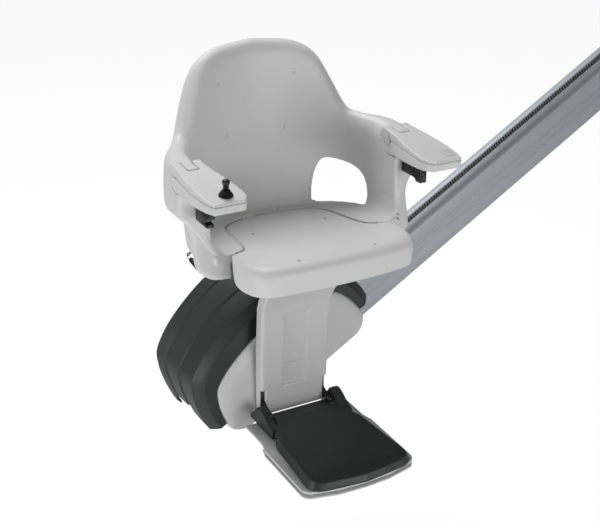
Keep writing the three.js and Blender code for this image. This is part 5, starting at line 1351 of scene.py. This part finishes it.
class STAIRLIFT_OT_footrest_pad(bpy.types.Operator):
    """Moulds the footrest's soft pad with its ears"""

    bl_idname = "stairlift.footrest_pad"
    bl_label = "Footrest Pad"

    def execute(self, context):
        def level(grow, height):
            return [(x, y, height) for x, y in pad_outline(grow)]

        tray = draft(skin([
            level(PAD_DRAFT, PAD_FOOT), level(PAD_DRAFT, PAD_FOOT + PAD_EDGE),
            level(PAD_EDGE / 2, PAD_TOP - PAD_EDGE), level(0, PAD_TOP - PAD_CREASE),
            level(-PAD_EDGE, PAD_TOP),
        ]), "pad_moulding")
        tip = -PAD_FRONT - PAD_DRAFT - OVERRUN
        bend = PAD_LIP - PAD_FRONT
        carve(tray, [prism_x([
            (bend, PAD_TOP), (PAD_LIP / 2 - PAD_FRONT, PAD_TOP - PAD_LIP_EASE),
            (tip, PAD_TOP - PAD_LIP_DROP), (tip, PAD_TOP + OVERRUN), (bend, PAD_TOP + OVERRUN),
        ], -PAD_HALF * 2, PAD_HALF * 2)])
        inner = BRACKET_INNER - RUNNING_GAP
        neck = draft(prism_x([
            (-PAD_REAR, PAD_FOOT), (-PAD_REAR, PAD_REAR_TOP), (-SLOT_FRONT / 2, PAD_REAR_TOP + PAD_EDGE),
            (-SLOT_FRONT, PAD_TOP - PAD_EDGE / 2), (-PAD_NECK_TURN, PAD_TOP - GAP),
            (-PAD_NECK_FRONT, PAD_TOP - PAD_EDGE), (-PAD_NECK_FRONT, PAD_FOOT),
        ], -inner, inner), "neck")
        ear_outline = [
            (0, PAD_FOOT), (-EAR_FRONT, PAD_FOOT), (-EAR_FRONT, PAD_TOP - PAD_EDGE),
            *[(-ahead, PAD_TOP + up) for ahead, up in EAR_SLOPE],
            *arc(FOOT_HINGE_BACK, FOOT_HINGE_HEIGHT, EAR_RADIUS, 120, 20, 16),
            (-PAD_EDGE, PAD_TOP - PAD_EDGE * 2), (0, PAD_FOOT + PAD_EDGE * 2),
        ]
        ears = []
        bores = []
        slots = []
        for side in (1, -1):
            ears.append(draft(prism_x(ear_outline, *sided(side, EAR_INNER, EAR_OUTER)), "ear"))
            ends = sided(side, EAR_INNER - OVERRUN, EAR_OUTER - PAD_EDGE + GAP)
            bores.append(rod("X", FOOT_PIN + GAP, *ends, (FOOT_HINGE_BACK, FOOT_HINGE_HEIGHT)))
            slots.append(block(*sided(side, inner, EAR_INNER), -SLOT_FRONT, OVERRUN,
                               PAD_FOOT - OVERRUN, PAD_TOP + SLOT_RISE))
        gather(tray, [neck] + ears)
        mould(tray, "small_grain", smoothing=4, keep=0.6)
        carve(tray, slots + bores)
        finished(tray, CHAIR, "footrest", ["footrest_pad"], "dark_grey", angle=45)
        return {"FINISHED"}


# Fittings


def dress(node, slot, edge):
    """A copy of a CAD node with its edges broken, in its record's finish."""
    source = NODES[node]
    obj = linked(f"{node}_dressed", source.data.copy())
    obj.data.transform(source.matrix_world)
    bm = bmesh.new()
    bm.from_mesh(obj.data)
    bmesh.ops.remove_doubles(bm, verts=bm.verts, dist=SAME_POINT * MM)
    bmesh.ops.dissolve_limit(bm, angle_limit=math.radians(1), verts=bm.verts, edges=bm.edges)
    break_edges(bm, edge, angle=35)
    bm.to_mesh(obj.data)
    bm.free()
    finished(obj, Matrix.Identity(4), body_of(source)[0], [node], slot, angle=35)


class STAIRLIFT_OT_fittings(bpy.types.Operator):
    """Breaks the edges of the rail, frame, brackets and other fittings and gives them their finishes"""

    bl_idname = "stairlift.fittings"
    bl_label = "Fittings"

    def execute(self, context):
        edge = context.scene.stairlift_mould.edge
        slots = {part["node"]: part["material_slot"] for part in frame["record"]["subparts"]}
        for node, obj in NODES.items():
            if not obj.hide_render:
                dress(node, slots[node], edge)
        return {"FINISHED"}


# Studio


def aim(obj, place, target):
    obj.location = place
    obj.rotation_euler = (Vector(target) - Vector(place)).to_track_quat("-Z", "Y").to_euler()


def studio_floor(height):
    """A ground that catches soft shadows and that the camera sees as nearly white."""
    material, tree, shader = bare_material("studio_floor", FLOOR_SHADE, FLOOR_ROUGHNESS)
    glow = tree.nodes.new("ShaderNodeEmission")
    glow.inputs["Color"].default_value = WHITE
    glow.inputs["Strength"].default_value = FLOOR_GLOW
    rays = tree.nodes.new("ShaderNodeLightPath")
    paleness = tree.nodes.new("ShaderNodeMath")
    paleness.operation = "MULTIPLY"
    paleness.inputs[1].default_value = FLOOR_PALENESS
    blend = tree.nodes.new("ShaderNodeMixShader")
    wire(
        tree, (rays.outputs["Is Camera Ray"], paleness.inputs[0]),
        (paleness.outputs["Value"], blend.inputs["Fac"]), (shader.outputs["BSDF"], blend.inputs[1]),
        (glow.outputs["Emission"], blend.inputs[2]),
        (blend.outputs["Shader"], tree.nodes["Material Output"].inputs["Surface"]),
    )
    bm = bmesh.new()
    bmesh.ops.create_grid(bm, x_segments=1, y_segments=1, size=FLOOR_REACH)
    bmesh.ops.translate(bm, verts=bm.verts, vec=(0, 0, height))
    floor = draft(bm, "studio_floor")
    floor.data.materials.append(material)


def studio_world(strength):
    """An even light from all round, behind which the camera sees white."""
    world = bpy.data.worlds.new("studio_world")
    world.use_nodes = True
    tree = world.node_tree
    even = tree.nodes["Background"]
    seen = tree.nodes.new("ShaderNodeBackground")
    for node, power in ((even, strength), (seen, 1.0)):
        node.inputs["Color"].default_value = WHITE
        node.inputs["Strength"].default_value = power
    rays = tree.nodes.new("ShaderNodeLightPath")
    mix = tree.nodes.new("ShaderNodeMixShader")
    wire(
        tree, (rays.outputs["Is Camera Ray"], mix.inputs["Fac"]),
        (even.outputs["Background"], mix.inputs[1]), (seen.outputs["Background"], mix.inputs[2]),
        (mix.outputs["Shader"], tree.nodes["World Output"].inputs["Surface"]),
    )
    return world


class STAIRLIFT_OT_stage(bpy.types.Operator):
    """Makes the floor, the studio light and the camera"""

    bl_idname = "stairlift.stage"
    bl_label = "Stage"

    def execute(self, context):
        scene = context.scene
        settings = scene.stairlift_stage
        studio_floor(settings.floor_height)
        scene.world = studio_world(settings.background)
        for name, place, size, watts in LAMPS:
            lamp = bpy.data.lights.new(name, "AREA")
            lamp.shape = "SQUARE"
            lamp.size = size
            lamp.energy = watts
            aim(linked(name, lamp), place, settings.camera_target)
        camera = bpy.data.cameras.new("camera")
        camera.sensor_width = SENSOR_WIDTH
        camera.lens = settings.lens
        camera.clip_end = SIGHT
        viewer = linked("camera", camera)
        aim(viewer, settings.camera_place, settings.camera_target)
        scene.camera = viewer
        scene.view_settings.view_transform = "Standard"
        return {"FINISHED"}


class STAIRLIFT_PT_panel(bpy.types.Panel):
    """Lists the chair's pieces and their settings"""

    bl_label = "Stairlift Chair"
    bl_idname = "STAIRLIFT_PT_panel"
    bl_space_type = "VIEW_3D"
    bl_region_type = "UI"
    bl_category = "Stairlift"

    def draw(self, context):
        layout = self.layout
        for group in ("stairlift_finish", "stairlift_mould", "stairlift_stage"):
            settings = getattr(context.scene, group)
            box = layout.box()
            for name in settings.__annotations__:
                box.prop(settings, name)
        for operator in OPERATORS:
            layout.operator(operator.bl_idname)


OPERATORS = (
    STAIRLIFT_OT_stage, STAIRLIFT_OT_seat_shell, STAIRLIFT_OT_seat_panel, STAIRLIFT_OT_arms,
    STAIRLIFT_OT_controls, STAIRLIFT_OT_covers, STAIRLIFT_OT_column, STAIRLIFT_OT_footrest_pad,
    STAIRLIFT_OT_fittings,
)
CLASSES = (StageSettings, FinishSettings, MouldSettings, *OPERATORS, STAIRLIFT_PT_panel)


def register():
    for item in CLASSES:
        bpy.utils.register_class(item)
    bpy.types.Scene.stairlift_stage = bpy.props.PointerProperty(type=StageSettings)
    bpy.types.Scene.stairlift_finish = bpy.props.PointerProperty(type=FinishSettings)
    bpy.types.Scene.stairlift_mould = bpy.props.PointerProperty(type=MouldSettings)


def unregister():
    del bpy.types.Scene.stairlift_mould
    del bpy.types.Scene.stairlift_finish
    del bpy.types.Scene.stairlift_stage
    for item in reversed(CLASSES):
        bpy.utils.unregister_class(item)


def main():
    register()
    bpy.ops.stairlift.stage()
    bpy.ops.stairlift.seat_shell()
    bpy.ops.stairlift.seat_panel()
    bpy.ops.stairlift.arms()
    bpy.ops.stairlift.controls()
    bpy.ops.stairlift.covers()
    bpy.ops.stairlift.column()
    bpy.ops.stairlift.footrest_pad()
    bpy.ops.stairlift.fittings()


if __name__ == "__main__":
    main()
